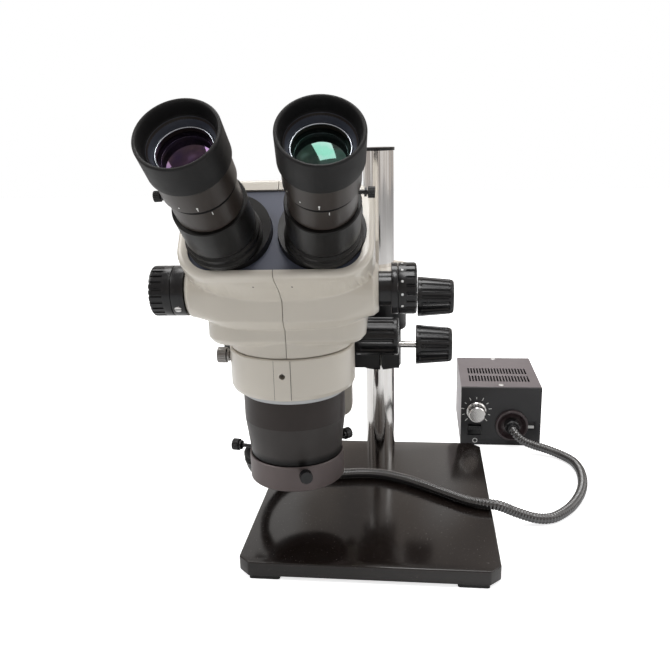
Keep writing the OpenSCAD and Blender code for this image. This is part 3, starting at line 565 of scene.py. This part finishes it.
def union_of(meshes):
    """One cutter from several meshes."""
    o = temp("cutter", meshes[0])
    for me in meshes[1:]:
        carve(o, temp("part", me), "UNION")
    return o


# Two pin holes on the front of the flare, head coordinates, mm: painted as dark spots of shade, not cut.
PIN_HOLE_SHADES = ((-14.4, -67.6, 210.6), (10.4, -67.6, 210.6))


def vector_math(nt, operation, first, second=None):
    n = nt.nodes.new("ShaderNodeVectorMath")
    n.operation = operation
    nt.links.new(first, n.inputs[0])
    if second is not None:
        n.inputs[1].default_value = second
    return n


def shell_mat():
    """Shell paint with two small dark spots on the front of the flare: painted shade standing for two pin
    holes.
    """
    m = finish_mat("cover_paint_and_pin_shade", SHELL, 0.34, **SHELL_FINISH)
    nt = m.node_tree
    b = nt.nodes["Principled BSDF"]
    paint = b.inputs["Base Color"].links[0].from_socket
    co = object_coords(nt)
    spans = []
    for mark in PIN_HOLE_SHADES:
        off = vector_math(nt, "SUBTRACT", co, HEAD @ (Vector(mark) * MM))
        squash = vector_math(nt, "MULTIPLY", off.outputs["Vector"], (1, 0.05, 1))
        spans.append(vector_math(nt, "LENGTH", squash.outputs["Vector"]).outputs["Value"])
    nearer = nt.nodes.new("ShaderNodeMath")
    nearer.operation = "MINIMUM"
    nt.links.new(spans[0], nearer.inputs[0])
    nt.links.new(spans[1], nearer.inputs[1])
    pin_shade_mask = ramp(nt, scaled(nt, nearer.outputs[0], 250), [(0.11, grey(1)), (0.17, grey(0))])
    # the dark spots are painted shade for the pin holes
    nt.links.new(blend(nt, pin_shade_mask, paint, (0.06, 0.05, 0.045, 1)), b.inputs["Base Color"])
    return m


def split_sides(bm):
    """Index to side (-1 left, 1 right, 0 loose crumbs) for the vertices of a cut shell."""
    side = {}
    for v in bm.verts:
        if v.index in side:
            continue
        group, todo = [], [v]
        side[v.index] = 0
        while todo:
            w = todo.pop()
            group.append(w)
            for e in w.link_edges:
                q = e.other_vert(w)
                if q.index not in side:
                    side[q.index] = 0
                    todo.append(q)
        which = -1 if sum(q.co.x for q in group) < 0 else 1
        if len(group) < 200:
            which = 0
        for q in group:
            side[q.index] = which
    return side


def build_covers():
    """The two painted halves of the head, remeshed soft from blocks, hollowed and cut."""
    neck = prism_mesh(circle_outline(44, 96), as_given, 155.9, 170)
    outer = joined("outer", head_blocks(0) + [neck])
    rm = outer.modifiers.new("remesh", "REMESH")
    rm.mode = "VOXEL"
    rm.voxel_size = 0.7
    sm = outer.modifiers.new("smooth", "SMOOTH")
    sm.factor = 0.5
    sm.iterations = 3
    modifier_mesh(outer)

    seam = [(1.4, 150), (1.4, 198), (0.0, 220), (0.0, 300)]
    gap = 0.22
    slab = [(x - gap, z) for x, z in seam] + [(x + gap, z) for x, z in reversed(seam)]
    panel = round_outline(54.6, 30.0, 16.1, cy=-2.45)
    cuts = head_blocks(2.5)
    cuts.append(prism_mesh(circle_outline(41.2, 96), as_given, 150, 172))
    cuts.append(prism_mesh(panel, face_point, -9, 5))
    for sd in (-1, 1):
        cuts.append(prism_mesh(circle_outline(27.8, 72), lambda u, v, w: disc_point(sd, u, v, w), -14, 12))
    cuts.append(prism_mesh(circle_outline(12, 48), lambda u, v, w: (w, ZOOM_Y + u, ZOOM_Z + v), -90, 90))
    cuts.append(prism_mesh(slab, lambda u, v, w: (u, w, v), -110, 110))
    carve(outer, union_of(cuts))

    bm = bmesh.new()
    bm.from_mesh(outer.data)
    bm.verts.ensure_lookup_table()
    side = split_sides(bm)
    drop(outer)
    mat = shell_mat()
    for s, nm, node in ((-1, "head_cover_left", "left_cover"), (1, "head_cover_right", "right_cover")):
        part = bm.copy()
        part.verts.ensure_lookup_table()
        bmesh.ops.delete(part, geom=[v for v in part.verts if side[v.index] != s], context="VERTS")
        me = bpy.data.meshes.new(nm)
        part.to_mesh(me)
        part.free()
        me.transform(HEAD @ Matrix.Scale(MM, 4))
        dress(temp(nm, me), mat, 38, "head", node)
    bm.free()


# ---- turned parts ----------------------------------------------------------------

# The inner end of a turned outline, mm: as near the axis as a clean mesh allows.
AXIS = 0.02


def smoothstep(a, b, x):
    t = clamp01((x - a) / (b - a))
    return t * t * (3 - 2 * t)


def arc(cx, cz, r, a0, a1, n=6):
    """Points of a round corner in (r, z), angles in degrees."""
    steps = [math.radians(a0 + (a1 - a0) * k / n) for k in range(n + 1)]
    return [(cx + r * math.cos(a), cz + r * math.sin(a)) for a in steps]


def turned(name, profile, mat, place, body, seg=128, flute=None, smooth=35, node=None):
    """A turned piece; node names the CAD node it replaces."""
    v, f = lathe(profile, seg, flute)
    o = add_mesh(name, v, f, mat, smooth, place, body)
    if node:
        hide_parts(node)


def fluted_profile(length, r1, r2, hole, hole_len, plain, rim, corner=2.6):
    """Outside of a tapered knob from its base at z = 0 to its round end, with a blind bore."""
    pts = [(hole, 0.0)] + arc(r1 - 0.9, 0.9, 0.9, -90, 0, 4)
    zs = [plain - 0.5, plain, plain + 0.5, plain + 1.2]
    k = plain + 3
    while k < length - rim - 1.6:
        zs.append(k)
        k += 3
    zs += [length - rim - 1.2, length - rim - 0.5, length - rim, length - rim + 0.5]
    pts += [(r1 + (r2 - r1) * z / length, z) for z in zs]
    pts += arc(r2 - corner, length - corner, corner, 0, 90, 8)
    pts += [(r2 * 0.55, length), (r2 * 0.5, length - 0.35), (AXIS, length - 0.35)]
    pts += [(AXIS, hole_len), (hole, hole_len)]
    return pts


def fluter(count, depth, width, z0, z1, soft=0.9, r_from=8.0):
    """Cuts count round flutes of the given half-width (mm) between z0 and z1."""
    def f(a, z, r):
        if r < r_from:
            return r
        p = 2 * math.pi / count
        off = abs(((a + p / 2) % p) - p / 2) * r
        g = 1 - smoothstep(0.35 * width, width, off)
        h = smoothstep(z0 - soft / 2, z0 + soft / 2, z) * (1 - smoothstep(z1 - soft / 2, z1 + soft / 2, z))
        return r - depth * g * h
    return f


def along(x, y, z, sign=1):
    """Places a turned part with its axis along +X or -X from the point, mm."""
    return shift(x, y, z) @ Matrix.Rotation(math.radians(90 * sign), 4, "Y")


def on_zoom_axis(x, sign):
    """Places a turned part on the zoom axis at x mm from the middle of the head."""
    return HEAD @ along(x, ZOOM_Y, ZOOM_Z, sign)


def zoom_profile(length, plain):
    """Outline of a zoom knob: a plain rim, then the ribbed length with a dished end."""
    r = ZOOM_R
    pts = [(4.0, 0.0)] + arc(r - 0.4, 0.4, 0.4, -90, 0, 3)
    pts += [(r, plain + z) for z in (-0.4, -0.1, 0.2, 0.6)] + [(r, plain + 3), (r, length - 2.2)]
    pts += arc(r - 2.0, length - 2.0, 2.0, 0, 90, 7)
    pts += [(10.5, length), (10.1, length - 0.4), (AXIS, length - 0.4)]
    pts += [(AXIS, length - 2.8), (4.0, length - 2.8)]
    return pts


def ribs(count, plain):
    """Narrow straight grooves on a zoom knob above its plain rim."""
    def f(a, z, r):
        if r < 13:
            return r
        p = 2 * math.pi / count
        off = abs(((a + p / 2) % p) - p / 2) * ZOOM_R
        g = 1 - smoothstep(0.55, 0.95, off)
        h = smoothstep(plain - 0.15, plain + 0.25, z)
        return r - 1.15 * g * h
    return f


def build_knobs():
    rim = 3.6
    length = 31
    turned("arm_knob_grip", fluted_profile(length, 17.3, 14.6, 4.0, 18, rim, rim), M["knob"],
           along(33, 0, 163), "arm_knob", 18 * 14, fluter(18, 1.15, 1.75, rim, length - rim), 30,
           "arm_clamp_knob")
    length = 30.4
    turned("collar_knob_grip", fluted_profile(length, 16.8, 14.3, 3.0, 18, 3.5, rim), M["knob"],
           along(31.8, -23, 126.5), "collar_knob", 18 * 14, fluter(18, 1.15, 1.7, 3.5, length - rim), 30,
           "collar_clamp_knob")
    for nm, x, sign in (("right", -17, 1), ("left", -90, -1)):
        turned("focus_knob_" + nm, fluted_profile(35, 15.5, 15.5, 4.0, 31, 5, 4, 1.8), M["knob"],
               along(x, -48, 140.7, sign), "focus_pinion", 12 * 18, fluter(12, 1.3, 2.0, 5, 31), 30,
               "focus_knobs")
    ends = (("left", 73.3, 88, 5.5, 24, -1), ("right", 76.8, 89, 5.2, 20, 1))
    for nm, near, far, plain, count, sign in ends:
        turned("zoom_grip_" + nm, zoom_profile(far - near, plain), M["knob"], on_zoom_axis(sign * near, sign),
               "zoom", count * 14, ribs(count, plain), 30, "zoom_knob_" + nm)


# ---- marks -------------------------------------------------------------------------

def patch_on_cylinder(r, a_mid, z_mid, half_w, half_h, lift=0.06, round_=False):
    """A thin closed patch on a cylinder about Z: half_w along the turn, half_h along Z, all mm."""
    if round_:
        ring = [(half_w * u, half_h * w) for u, w in circle_outline(1, 20)]
    else:
        ring = round_outline(half_w, half_h, min(half_w, half_h) * 0.5, 3)
    m = len(ring)
    verts = []
    for lv in (-0.25, lift):
        for u, w in ring:
            a = a_mid + u / r
            verts.append(((r + lv) * math.cos(a), (r + lv) * math.sin(a), z_mid + w))
    faces = [tuple(range(m))[::-1], tuple(range(m, 2 * m))]
    faces += [(k, (k + 1) % m, m + (k + 1) % m, m + k) for k in range(m)]
    return verts, faces


def merge_parts(parts):
    """One (verts, faces) from several."""
    verts, faces = [], []
    for v, f in parts:
        b = len(verts)
        verts += v
        faces += [tuple(i + b for i in q) for q in f]
    return verts, faces


# Each side's dots on the dioptre ring: angle from its front, radians, and half-width, mm.
# The last number is the angle of the index line on the tube.
DOTS = {-1: ([(-0.82, 0.36), (-0.345, 0.42), (0.13, 0.55)], 0.43),
        1: ([(-0.98, 0.36), (-0.52, 0.42), (-0.03, 0.55)], 0.23)}
DIOPTRE_R, TUBE_R = 22.0, 20.4
CROWN_R = 60.0
# Painted shade round the eyepiece, thin matte black bands standing for the shade in its joints: height,
# radius, width, name and the body they are on.
SHADE_GROOVES = ((55.4, TUBE_R, 1.5, "gap", "tube_"), (74.4, DIOPTRE_R, 1.2, "cup_line", "dioptre_"))


def lens_outline():
    """Eye lens with a crown of radius CROWN_R on its outer side."""
    radii = [15.6 * (1 - k / 24) for k in range(24)] + [AXIS]
    crown = [(r, 83.1 - CROWN_R + math.sqrt(CROWN_R * CROWN_R - r * r)) for r in radii]
    return [(AXIS, 80.2), (15.7, 80.2), (15.7, 80.9)] + crown


def build_eyepieces():
    cup = [(19.65, 76)] + arc(22.9, 76.9, 0.9, -90, 0, 5)
    cup += [(23.8, 81), (23.8, 89), (23.8, 96.6)] + arc(22.7, 96.9, 1.1, 0, 150, 8)
    cup += [(21.4, 96.6), (21.0, 94.5), (20.6, 92), (20.25, 90), (19.95, 88.9), (19.65, 88.6)]
    cone = [(19.5, 88.3), (19.35, 89.0), (16.75, 84.15), (16.6, 83.5), (17.6, 83.5), (19.3, 87.0)]
    bezel = arc(16.0, 84.0, 0.42, -60, 240, 10)
    a0 = -math.pi / 2
    for side, nm in ((-1, "left"), (1, "right")):
        T = tube_frame(side)
        body = "dioptre_" + nm
        turned("eyecup_rubber_" + nm, cup, M["cup"], T, body, 160, None, 40, "eyecup_" + nm)
        turned("lens_seat_" + nm, cone, M["seat"], T, body, 128, None, 30)
        turned("lens_bezel_" + nm, bezel, M["bezel"], T, body, 128, None, 60)
        spots, index = DOTS[side]
        dots = [patch_on_cylinder(DIOPTRE_R, a0 + da, 62.6, r, r * 1.2, round_=True) for da, r in spots]
        dots.append(patch_on_cylinder(DIOPTRE_R, a0 + spots[2][0], 61.3, 0.22, 1.1))
        add_mesh("dioptre_marks_" + nm, *merge_parts(dots), M["white"], 60, T, body)
        line = patch_on_cylinder(TUBE_R, a0 + index, 53.4, 0.24, 1.3)
        add_mesh("dioptre_index_" + nm, *line, M["white"], 60, T, "tube_" + nm)
        for z, r, h, what, on in SHADE_GROOVES:
            band = [(r - 0.3, z), (r + 0.03, z), (r + 0.07, z + 0.1)]
            band += [(r + 0.07, z + h - 0.1), (r + 0.03, z + h), (r - 0.3, z + h)]
            # a thin matte black band: painted shade in the joint
            turned("ring_%s_%s" % (what, nm), band, M["line"], T, on + nm, 128, None, 30)
        turned("eye_glass_" + nm, lens_outline(), M["lens_" + nm[0]], T, body, 160, None, 30,
               "eye_lens_" + nm)


def build_flanges():
    """Flanges on both ends of the zoom axis, each on a thinner neck."""
    for nm, sign, neck, rim in (("left", -1, 6.3, 14.6), ("right", 1, 14.2, 18.1)):
        prof = [(4.3, 0), (11.6, 0), (11.6, neck)] + arc(16.7, neck + 0.4, 0.4, -90, 0, 3)
        prof += arc(16.7, rim, 0.4, 0, 90, 3) + [(4.3, rim + 0.4)]
        turned("zoom_flange_" + nm, prof, M["knob"], on_zoom_axis(sign * 58, sign), "head", 128, None, 35,
               "zoom_flanges")


def build_zoom_marks():
    parts = []
    for deg in (-31, -2, 27, 56, 85, 114, 143, 172):
        a = math.radians(deg)
        # local x of the turned frame is -Z of the head, local y is +Y
        ang = math.atan2(-math.cos(a), -math.sin(a))
        parts.append(patch_on_cylinder(ZOOM_R, ang, 79.4, 0.85, 0.85, round_=True))
    add_mesh("zoom_scale_dots", *merge_parts(parts), M["white"], 60, on_zoom_axis(0, 1), "zoom")

    # A slotted screw stands in the rim of the left flange, low on the front.
    a = math.radians(-35)
    d = Vector((0, -math.cos(a), math.sin(a)))
    root = HEAD @ (Vector((-69.0, ZOOM_Y + d.y * 16.95, ZOOM_Z + d.z * 16.95)) * MM)
    turn = (HEAD.to_3x3() @ d).to_track_quat("Z", "Y").to_matrix().to_4x4()
    slot_w = 0.42
    slot = [(-3, -slot_w), (3, -slot_w), (3, slot_w), (-3, slot_w)]
    prof = [(AXIS, -1.2), (2.5, -1.2), (2.5, 0.15)] + arc(2.1, 0.15, 0.4, 0, 90, 4) + [(AXIS, 0.55)]
    o = add_mesh("flange_screw", *lathe(prof, 48), M["steel"])
    o.data.materials.clear()
    carve(o, temp("slot", prism_mesh(slot, flat, 0.0, 2)))
    o.data.transform(Matrix.Translation(root) @ turn)
    dress(o, M["steel"], 35, "head")


# ---- light guide ---------------------------------------------------------------------

# The middle of the sheath lies this high on the base plate and on the bench.
REST = 13.7 + 4.1 + 0.3
BENCH = 4.3
PATH = [(-93.4, -101.6, 60), (-96.2, -100.0, 59.2), (-98.4, -97.0, 56.5), (-100.2, -92.5, 47),
        (-98, -84, 35), (-90, -72, 25), (-78, -62, REST + 1), (-60, -55, REST), (-31, -51.7, REST),
        (-15.6, -49.2, REST), (1.7, -49.8, REST), (19.1, -56.3, REST), (36, -66.4, REST),
        (56.2, -81, REST), (75.4, -94, REST), (87, -98, REST + 0.1), (95.6, -98.8, REST - 0.3),
        (102, -98.2, REST - 2.6), (109, -97.1, 12.0), (117, -96.3, 8.8), (125, -95.9, 6.3),
        (133, -94.4, 4.8), (140.5, -91.4, BENCH + 0.05), (146, -87, BENCH), (156.7, -74.6, BENCH),
        (166.8, -56.5, BENCH), (174, -37, BENCH), (177.9, -16.3, BENCH), (178.2, 2, BENCH),
        (175, 16, BENCH), (167, 27, BENCH + 0.5), (156, 33.5, BENCH + 2.5), (144, 36.5, 9.5),
        (134, 37.5, 13.5), (127.5, 39.8, 18.5), (124.9, 44, 21.4), (124.6, 50.5, 21.9)]
# Each length of sheath: its name, where it ends on the path, and the bodies it lies between.
LENGTHS = [("top", (-100.2, -92.5, 47), ("head",)),
           ("rise", (-90, -72, 25), ("head", "carriage")),
           ("arm", (-60, -55, REST), ("carriage", "arm")),
           ("collar", (-5, -49.3, REST), ("arm", "collar")),
           ("swing", (30, -62.6, REST), ("collar", "collar_liner")),
           ("lift", (75.4, -94, REST), ("collar_liner", "stand")),
           ("bench", None, ("stand",))]
PITCH = 2.6


def spline(points, step):
    """Even points along a centripetal Catmull-Rom curve."""
    P = [Vector(p) for p in points]
    P = [P[0] * 2 - P[1]] + P + [P[-1] * 2 - P[-2]]
    fine = []
    for i in range(1, len(P) - 2):
        p0, p1, p2, p3 = P[i - 1], P[i], P[i + 1], P[i + 2]
        t0 = 0.0
        t1 = t0 + (p1 - p0).length ** 0.5
        t2 = t1 + (p2 - p1).length ** 0.5
        t3 = t2 + (p3 - p2).length ** 0.5
        n = 24
        for k in range(n):
            t = t1 + (t2 - t1) * k / n
            a1 = p0 * ((t1 - t) / (t1 - t0)) + p1 * ((t - t0) / (t1 - t0))
            a2 = p1 * ((t2 - t) / (t2 - t1)) + p2 * ((t - t1) / (t2 - t1))
            a3 = p2 * ((t3 - t) / (t3 - t2)) + p3 * ((t - t2) / (t3 - t2))
            b1 = a1 * ((t2 - t) / (t2 - t0)) + a2 * ((t - t0) / (t2 - t0))
            b2 = a2 * ((t3 - t) / (t3 - t1)) + a3 * ((t - t1) / (t3 - t1))
            fine.append(b1 * ((t2 - t) / (t2 - t1)) + b2 * ((t - t1) / (t2 - t1)))
    fine.append(P[-2].copy())
    out, carry = [fine[0].copy()], 0.0
    for a, b in zip(fine, fine[1:]):
        d = (b - a).length
        pos = step - carry
        while pos <= d:
            out.append(a.lerp(b, pos / d))
            pos += step
        carry = d - (pos - step)
    return out


def transport(points):
    """Parallel frames along a curve."""
    tang = []
    for i in range(len(points)):
        a = points[max(0, i - 1)]
        b = points[min(len(points) - 1, i + 1)]
        tang.append((b - a).normalized())
    n = tang[0].orthogonal().normalized()
    frames = []
    for i, t in enumerate(tang):
        if i:
            n = tang[i - 1].rotation_difference(t) @ n
        n = (n - t * n.dot(t)).normalized()
        frames.append((n, t.cross(n)))
    return frames


def tube(points, frames, radii, seg):
    """A closed tube of changing radius along a curve."""
    verts, faces = [], []
    for p, (n, b), r in zip(points, frames, radii):
        for k in range(seg):
            a = 2 * math.pi * k / seg
            verts.append(tuple(p + n * (r * math.cos(a)) + b * (r * math.sin(a))))
    for i in range(len(points) - 1):
        for k in range(seg):
            j = (k + 1) % seg
            faces.append((i * seg + k, i * seg + j, (i + 1) * seg + j, (i + 1) * seg + k))
    last = (len(points) - 1) * seg
    faces.append(tuple(range(seg))[::-1])
    faces.append(tuple(range(last, last + seg)))
    return verts, faces


def build_guide():
    """The ribbed light guide in seven lengths, and the boot it leaves the ring light in."""
    per = 6
    pts = spline(PATH, PITCH / per)
    frames = transport(pts)
    radii = [3.62 + 0.58 * (0.5 + 0.5 * math.cos(2 * math.pi * k / per)) ** 0.7 for k in range(len(pts))]

    def nearest(spot):
        q = Vector(spot)
        k = min(range(len(pts)), key=lambda i: (pts[i] - q).length)
        return k - k % per

    a = int(8 / (PITCH / per))
    for nm, spot, bodies in LENGTHS:
        b = nearest(spot) if spot else len(pts) - 1
        v, f = tube(pts[a:b + 1], frames[a:b + 1], radii[a:b + 1], 20)
        o = add_mesh("guide_sheath_" + nm, v, f, M["sheath"], 60)
        if len(bodies) == 1:
            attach(o, bodies[0])
        else:
            s, e = pts[a] * MM, pts[b] * MM
            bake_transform(o)
        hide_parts("light_guide")
        a = b
    n = int(17 / (PITCH / per))
    boot = []
    for k in range(n + 1):
        s = k * PITCH / per
        r = 6.3 - 1.5 * smoothstep(5, 16, s)
        r -= 0.45 * (0.5 - 0.5 * math.cos(2 * math.pi * s / PITCH)) * smoothstep(4.5, 5.5, s)
        if s > 16:
            r = min(r, 4.4)
        boot.append(r)
    v, f = tube(pts[:n + 1], frames[:n + 1], boot, 36)
    o = add_mesh("guide_boot", v, f, M["cup"], 50, None, "head")
    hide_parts("light_guide")


# ---- lamp box ---------------------------------------------------------------------------

BX, BY, BW, BD, BH = 75.6, 55.8, 76.8, 97.1, 60.3
PORT = (124.6, 21.9)
DIAL = (90.4, 36.3)
SWITCH = (89.1, 16.4)


def front_place(x, z):
    """Local Z points out of the lamp box front, local X to the right."""
    return shift(x, BY, z) @ Matrix.Rotation(math.radians(90), 4, "X")


def build_base():
    """Enamelled plate with cut corners and rounded edges, bored for the pole's bolt."""
    w, c, y0, y1 = 92, 8, -184.8, 29.6
    outline = [(-w + c, y0), (w - c, y0), (w, y0 + c), (w, y1 - c)]
    outline += [(w - c, y1), (-w + c, y1), (-w, y1 - c), (-w, y0 + c)]
    o = bevelled("base_enamel_plate", prism_mesh(outline, flat, 2.7, 13.7), 1.0, 4)
    for r, lo, hi in ((3.3, 0, 16), (5.4, 0, 9.2)):
        carve(o, temp("bore", prism_mesh(circle_outline(r, 48), flat, lo, hi)))
    dress(o, M["base"], 40, "stand", "base_plate")


def build_seams():
    """The two joints beside the flat on the front of the head ring."""
    parts = []
    for sx in (-1, 1):
        x = HEAD_X + sx * 5.76
        parts.append(boxed(x - 0.17, x + 0.17, -163.34, -162.6, 126.8, 154.8, 0.05))
    add_mesh("ring_seams", *merge_parts(parts), M["seam"], 30, None, "carriage")


def build_ticks():
    """Eleven plain ticks about the brightness knob."""
    parts = []
    for k in range(-5, 6):
        a = math.radians(90 + 27 * k)
        end = 11.9 + 2 * (1.5 if k % 2 else 1.05)
        ca, sa = math.cos(a), math.sin(a)
        corners = ((11.9, -0.33), (end, -0.33), (end, 0.33), (11.9, 0.33))
        q = [(u * ca - v * sa, u * sa + v * ca) for u, v in corners]
        v = [(x, y, -0.2) for x, y in q] + [(x, y, 0.06) for x, y in q]
        f = [(3, 2, 1, 0), (4, 5, 6, 7)] + [(k, (k + 1) % 4, 4 + (k + 1) % 4, 4 + k) for k in range(4)]
        parts.append((v, f))
    add_mesh("dial_ticks", *merge_parts(parts), M["white"], 40, front_place(*DIAL), "stand")


def build_box():
    """Front plate of the lamp box with its openings, port, nut, marks and cover screws."""
    corners = [(BX, 0.4), (BX + BW, 0.4), (BX + BW, BH), (BX, BH)]
    o = bevelled("lamp_front_plate", prism_mesh(corners, upright, BY, BY + 3), 0.7, 3)
    holes = [(circle_outline(14.6, 96, *PORT), 5), (circle_outline(3.05, 40, *DIAL), 5),
             (round_outline(6.6, 5.8, 0.8, 4, *SWITCH), 5),
             (round_outline(4.6, 4.0, 0.5, 4, 142.6, 21.6), 1.6)]
    for outline, depth in holes:
        carve(o, temp("hole", prism_mesh(outline, upright, BY - 3, BY + depth)))
    dress(o, M["boxfront"], 40, "stand", "source_front_panel")
    ring = [(7.2, -3.0), (14.55, -3.0), (14.55, 0.02), (15.6, 0.02)] + arc(14.7, 2.1, 0.9, 0, 90, 6)
    ring += [(13.6, 3.0), (13.2, 2.7), (12.4, 1.2), (11.0, -0.2), (9.4, -1.0), (7.9, -1.2), (7.2, -1.2)]
    turned("guide_port_ring", ring, M["port"], front_place(*PORT), "stand")
    nut = [(AXIS, -2.0), (7.0, -2.0), (7.0, 6.6)] + arc(6.3, 6.6, 0.7, 0, 60, 4)
    nut += [(5.7, 8.6), (5.3, 11.0), (4.8, 12.2), (AXIS, 12.2)]
    turned("guide_nut", nut, M["knob"], front_place(*PORT), "stand", 96, node="guide_plug")
    build_ticks()
    circle = [(1.7, -0.2), (2.5, -0.2), (2.5, 0.07), (1.7, 0.07)]
    turned("switch_mark", circle, M["white"], front_place(89.7, 5.0), "stand", 48)
    v, f = boxed(-3.1, 3.1, -1.2, 1.2, -1.5, 0.25, 0.25)
    add_mesh("latch_button", v, f, M["white"], 40, front_place(142.9, 20.0), "stand")
    screw = [(AXIS, -1.5), (1.25, -1.5), (1.25, 0.1), (2.6, 0.1)] + arc(1.9, 0.15, 0.7, 0, 80, 4)
    screw += [(AXIS, 0.95)]
    for k, y in enumerate((BY + 3.1 + 4, BY + BD - 5)):
        turned("cover_screw_%d" % (k + 1), screw, M["screw"], shift(BX + BW / 2, y, BH), "stand", 32)


def boxed(x0, x1, y0, y1, z0, z1, c):
    """A block whose top edges are cut back by c."""
    v = []
    for z, i in ((z0, 0), (z1 - c, 0), (z1, c)):
        v += [(x0 + i, y0 + i, z), (x1 - i, y0 + i, z), (x1 - i, y1 - i, z), (x0 + i, y1 - i, z)]
    f = [(3, 2, 1, 0), (8, 9, 10, 11)]
    for b in (0, 4):
        f += [(b + k, b + (k + 1) % 4, b + 4 + (k + 1) % 4, b + 4 + k) for k in range(4)]
    return v, f


# ---- edges of the CAD parts ------------------------------------------------------------------

def ease(name, width, segments=2, angle=40):
    """Small round edges on a CAD part, by modifiers only."""
    o = nodes[name]
    w = o.modifiers.new("weld", "WELD")
    w.merge_threshold = 1e-5
    b = o.modifiers.new("edges", "BEVEL")
    b.width = width * MM
    b.segments = segments
    b.limit_method = "ANGLE"
    b.angle_limit = math.radians(angle)
    b.use_clamp_overlap = True
    b.harden_normals = True


build_covers()
build_knobs()
build_eyepieces()
build_flanges()
build_zoom_marks()
build_guide()
build_box()
build_base()
build_seams()
for nm, wd in (("source_cover", 0.5), ("focus_housing", 0.5), ("arm_sleeve", 0.6),
               ("stop_collar", 0.6), ("focus_slide", 0.8)):
    ease(nm, wd)


# ---- camera, light, floor ------------------------------------------------------

# The camera as solved from the photograph: focal length and picture width in pixels, place in
# metres, and how far it looks aside, down and over, degrees.
FOCAL_PX, PICTURE_PX = 741.83, 670
CAMERA_AT = (0.03546, -0.63334, 0.30502)
CAMERA_YAW, CAMERA_PITCH, CAMERA_ROLL = -6.80, 15.52, -1.52


def studio():
    """Camera, glowing floor, four lights and the room that the finishes mirror."""
    cam = bpy.data.cameras.new("camera")
    cam.sensor_width = 36
    cam.lens = FOCAL_PX / PICTURE_PX * cam.sensor_width
    cam.clip_start = 0.01
    o = bpy.data.objects.new("camera", cam)
    bpy.context.scene.collection.objects.link(o)
    yaw, pitch, roll = (math.radians(v) for v in (CAMERA_YAW, CAMERA_PITCH, CAMERA_ROLL))
    fwd = Vector((math.sin(yaw) * math.cos(pitch), math.cos(yaw) * math.cos(pitch), -math.sin(pitch)))
    right = Vector((math.cos(yaw), -math.sin(yaw), 0))
    up = right.cross(fwd)
    r2 = right * math.cos(roll) + up * math.sin(roll)
    u2 = up * math.cos(roll) - right * math.sin(roll)
    rot = Matrix((r2, u2, -fwd)).transposed().to_4x4()
    o.matrix_world = Matrix.Translation(CAMERA_AT) @ rot
    bpy.context.scene.camera = o

    verts = [(-3, -3, 0), (3, -3, 0), (3, 3, 0), (-3, 3, 0)]
    me = bpy.data.meshes.new("floor")
    me.from_pydata(verts, [], [(0, 1, 2, 3)])
    floor = bpy.data.objects.new("floor", me)
    bpy.context.scene.collection.objects.link(floor)
    paint = finish_mat("floor_paint", (0.92, 0.92, 0.915), 0.7, vary=0.01, vary_scale=3, grain=300)
    glow = paint.node_tree.nodes["Principled BSDF"]
    put(glow, "Emission Color", (1, 1, 1, 1))
    paths = paint.node_tree.nodes.new("ShaderNodeLightPath")
    seen_glow = scaled(paint.node_tree, paths.outputs["Is Camera Ray"], 0.75)
    paint.node_tree.links.new(seen_glow, glow.inputs["Emission Strength"])
    me.materials.append(paint)

    def area(name, loc, target, size, power, color=(1, 1, 1)):
        li = bpy.data.lights.new(name, "AREA")
        li.shape = "RECTANGLE"
        li.size, li.size_y = size
        li.energy = power
        li.color = color
        a = bpy.data.objects.new(name, li)
        bpy.context.scene.collection.objects.link(a)
        a.location = loc
        a.rotation_euler = (Vector(target) - Vector(loc)).to_track_quat("-Z", "Y").to_euler()
        return a

    area("key", (-1.1, -0.35, 1.15), (-0.05, -0.1, 0.15), (0.8, 0.6), 7)
    area("side", (1.2, -0.1, 0.9), (-0.02, -0.1, 0.15), (0.8, 0.8), 4)
    area("back", (-0.05, 0.45, 1.5), (-0.05, -0.1, 0.2), (1.1, 0.6), 11)
    area("window", (0.06, -0.42, 1.35), (-0.02, -0.24, 0.29), (0.30, 0.46), 4)

    w = bpy.data.worlds.new("world")
    bpy.context.scene.world = w
    w.use_nodes = True
    nt = w.node_tree
    bg = nt.nodes["Background"]
    tc = nt.nodes.new("ShaderNodeTexCoord").outputs["Generated"]
    sep = nt.nodes.new("ShaderNodeSeparateXYZ")
    nt.links.new(tc, sep.inputs[0])
    sky = [(0.0, (0.75, 0.73, 0.71)), (0.35, (0.62, 0.58, 0.55)), (1.0, (0.85, 0.84, 0.83))]
    walls = [(0.40, (0.10, 0.08, 0.075)), (0.50, (0.42, 0.34, 0.28)), (0.60, (1.0, 0.98, 0.96))]
    up_col = ramp(nt, sep.outputs["Z"], sky)
    mapx = nt.nodes.new("ShaderNodeMapping")
    mapx.inputs["Scale"].default_value = (1, 1, 0.15)
    nt.links.new(tc, mapx.inputs["Vector"])
    bands = ramp(nt, noise(nt, mapx.outputs["Vector"], 3.1, 2), walls)
    room = blend(nt, 0.6, up_col, bands)
    lp = nt.nodes.new("ShaderNodeLightPath")
    seen = blend(nt, lp.outputs["Is Glossy Ray"], (0.34, 0.34, 0.345, 1), room)
    seen = blend(nt, lp.outputs["Is Camera Ray"], seen, (1.0, 1.0, 1.0, 1))
    nt.links.new(seen, bg.inputs["Color"])
    bg.inputs["Strength"].default_value = 1.0
    vs = bpy.context.scene.view_settings
    vs.view_transform = "Standard"
    vs.look = "None"


studio()
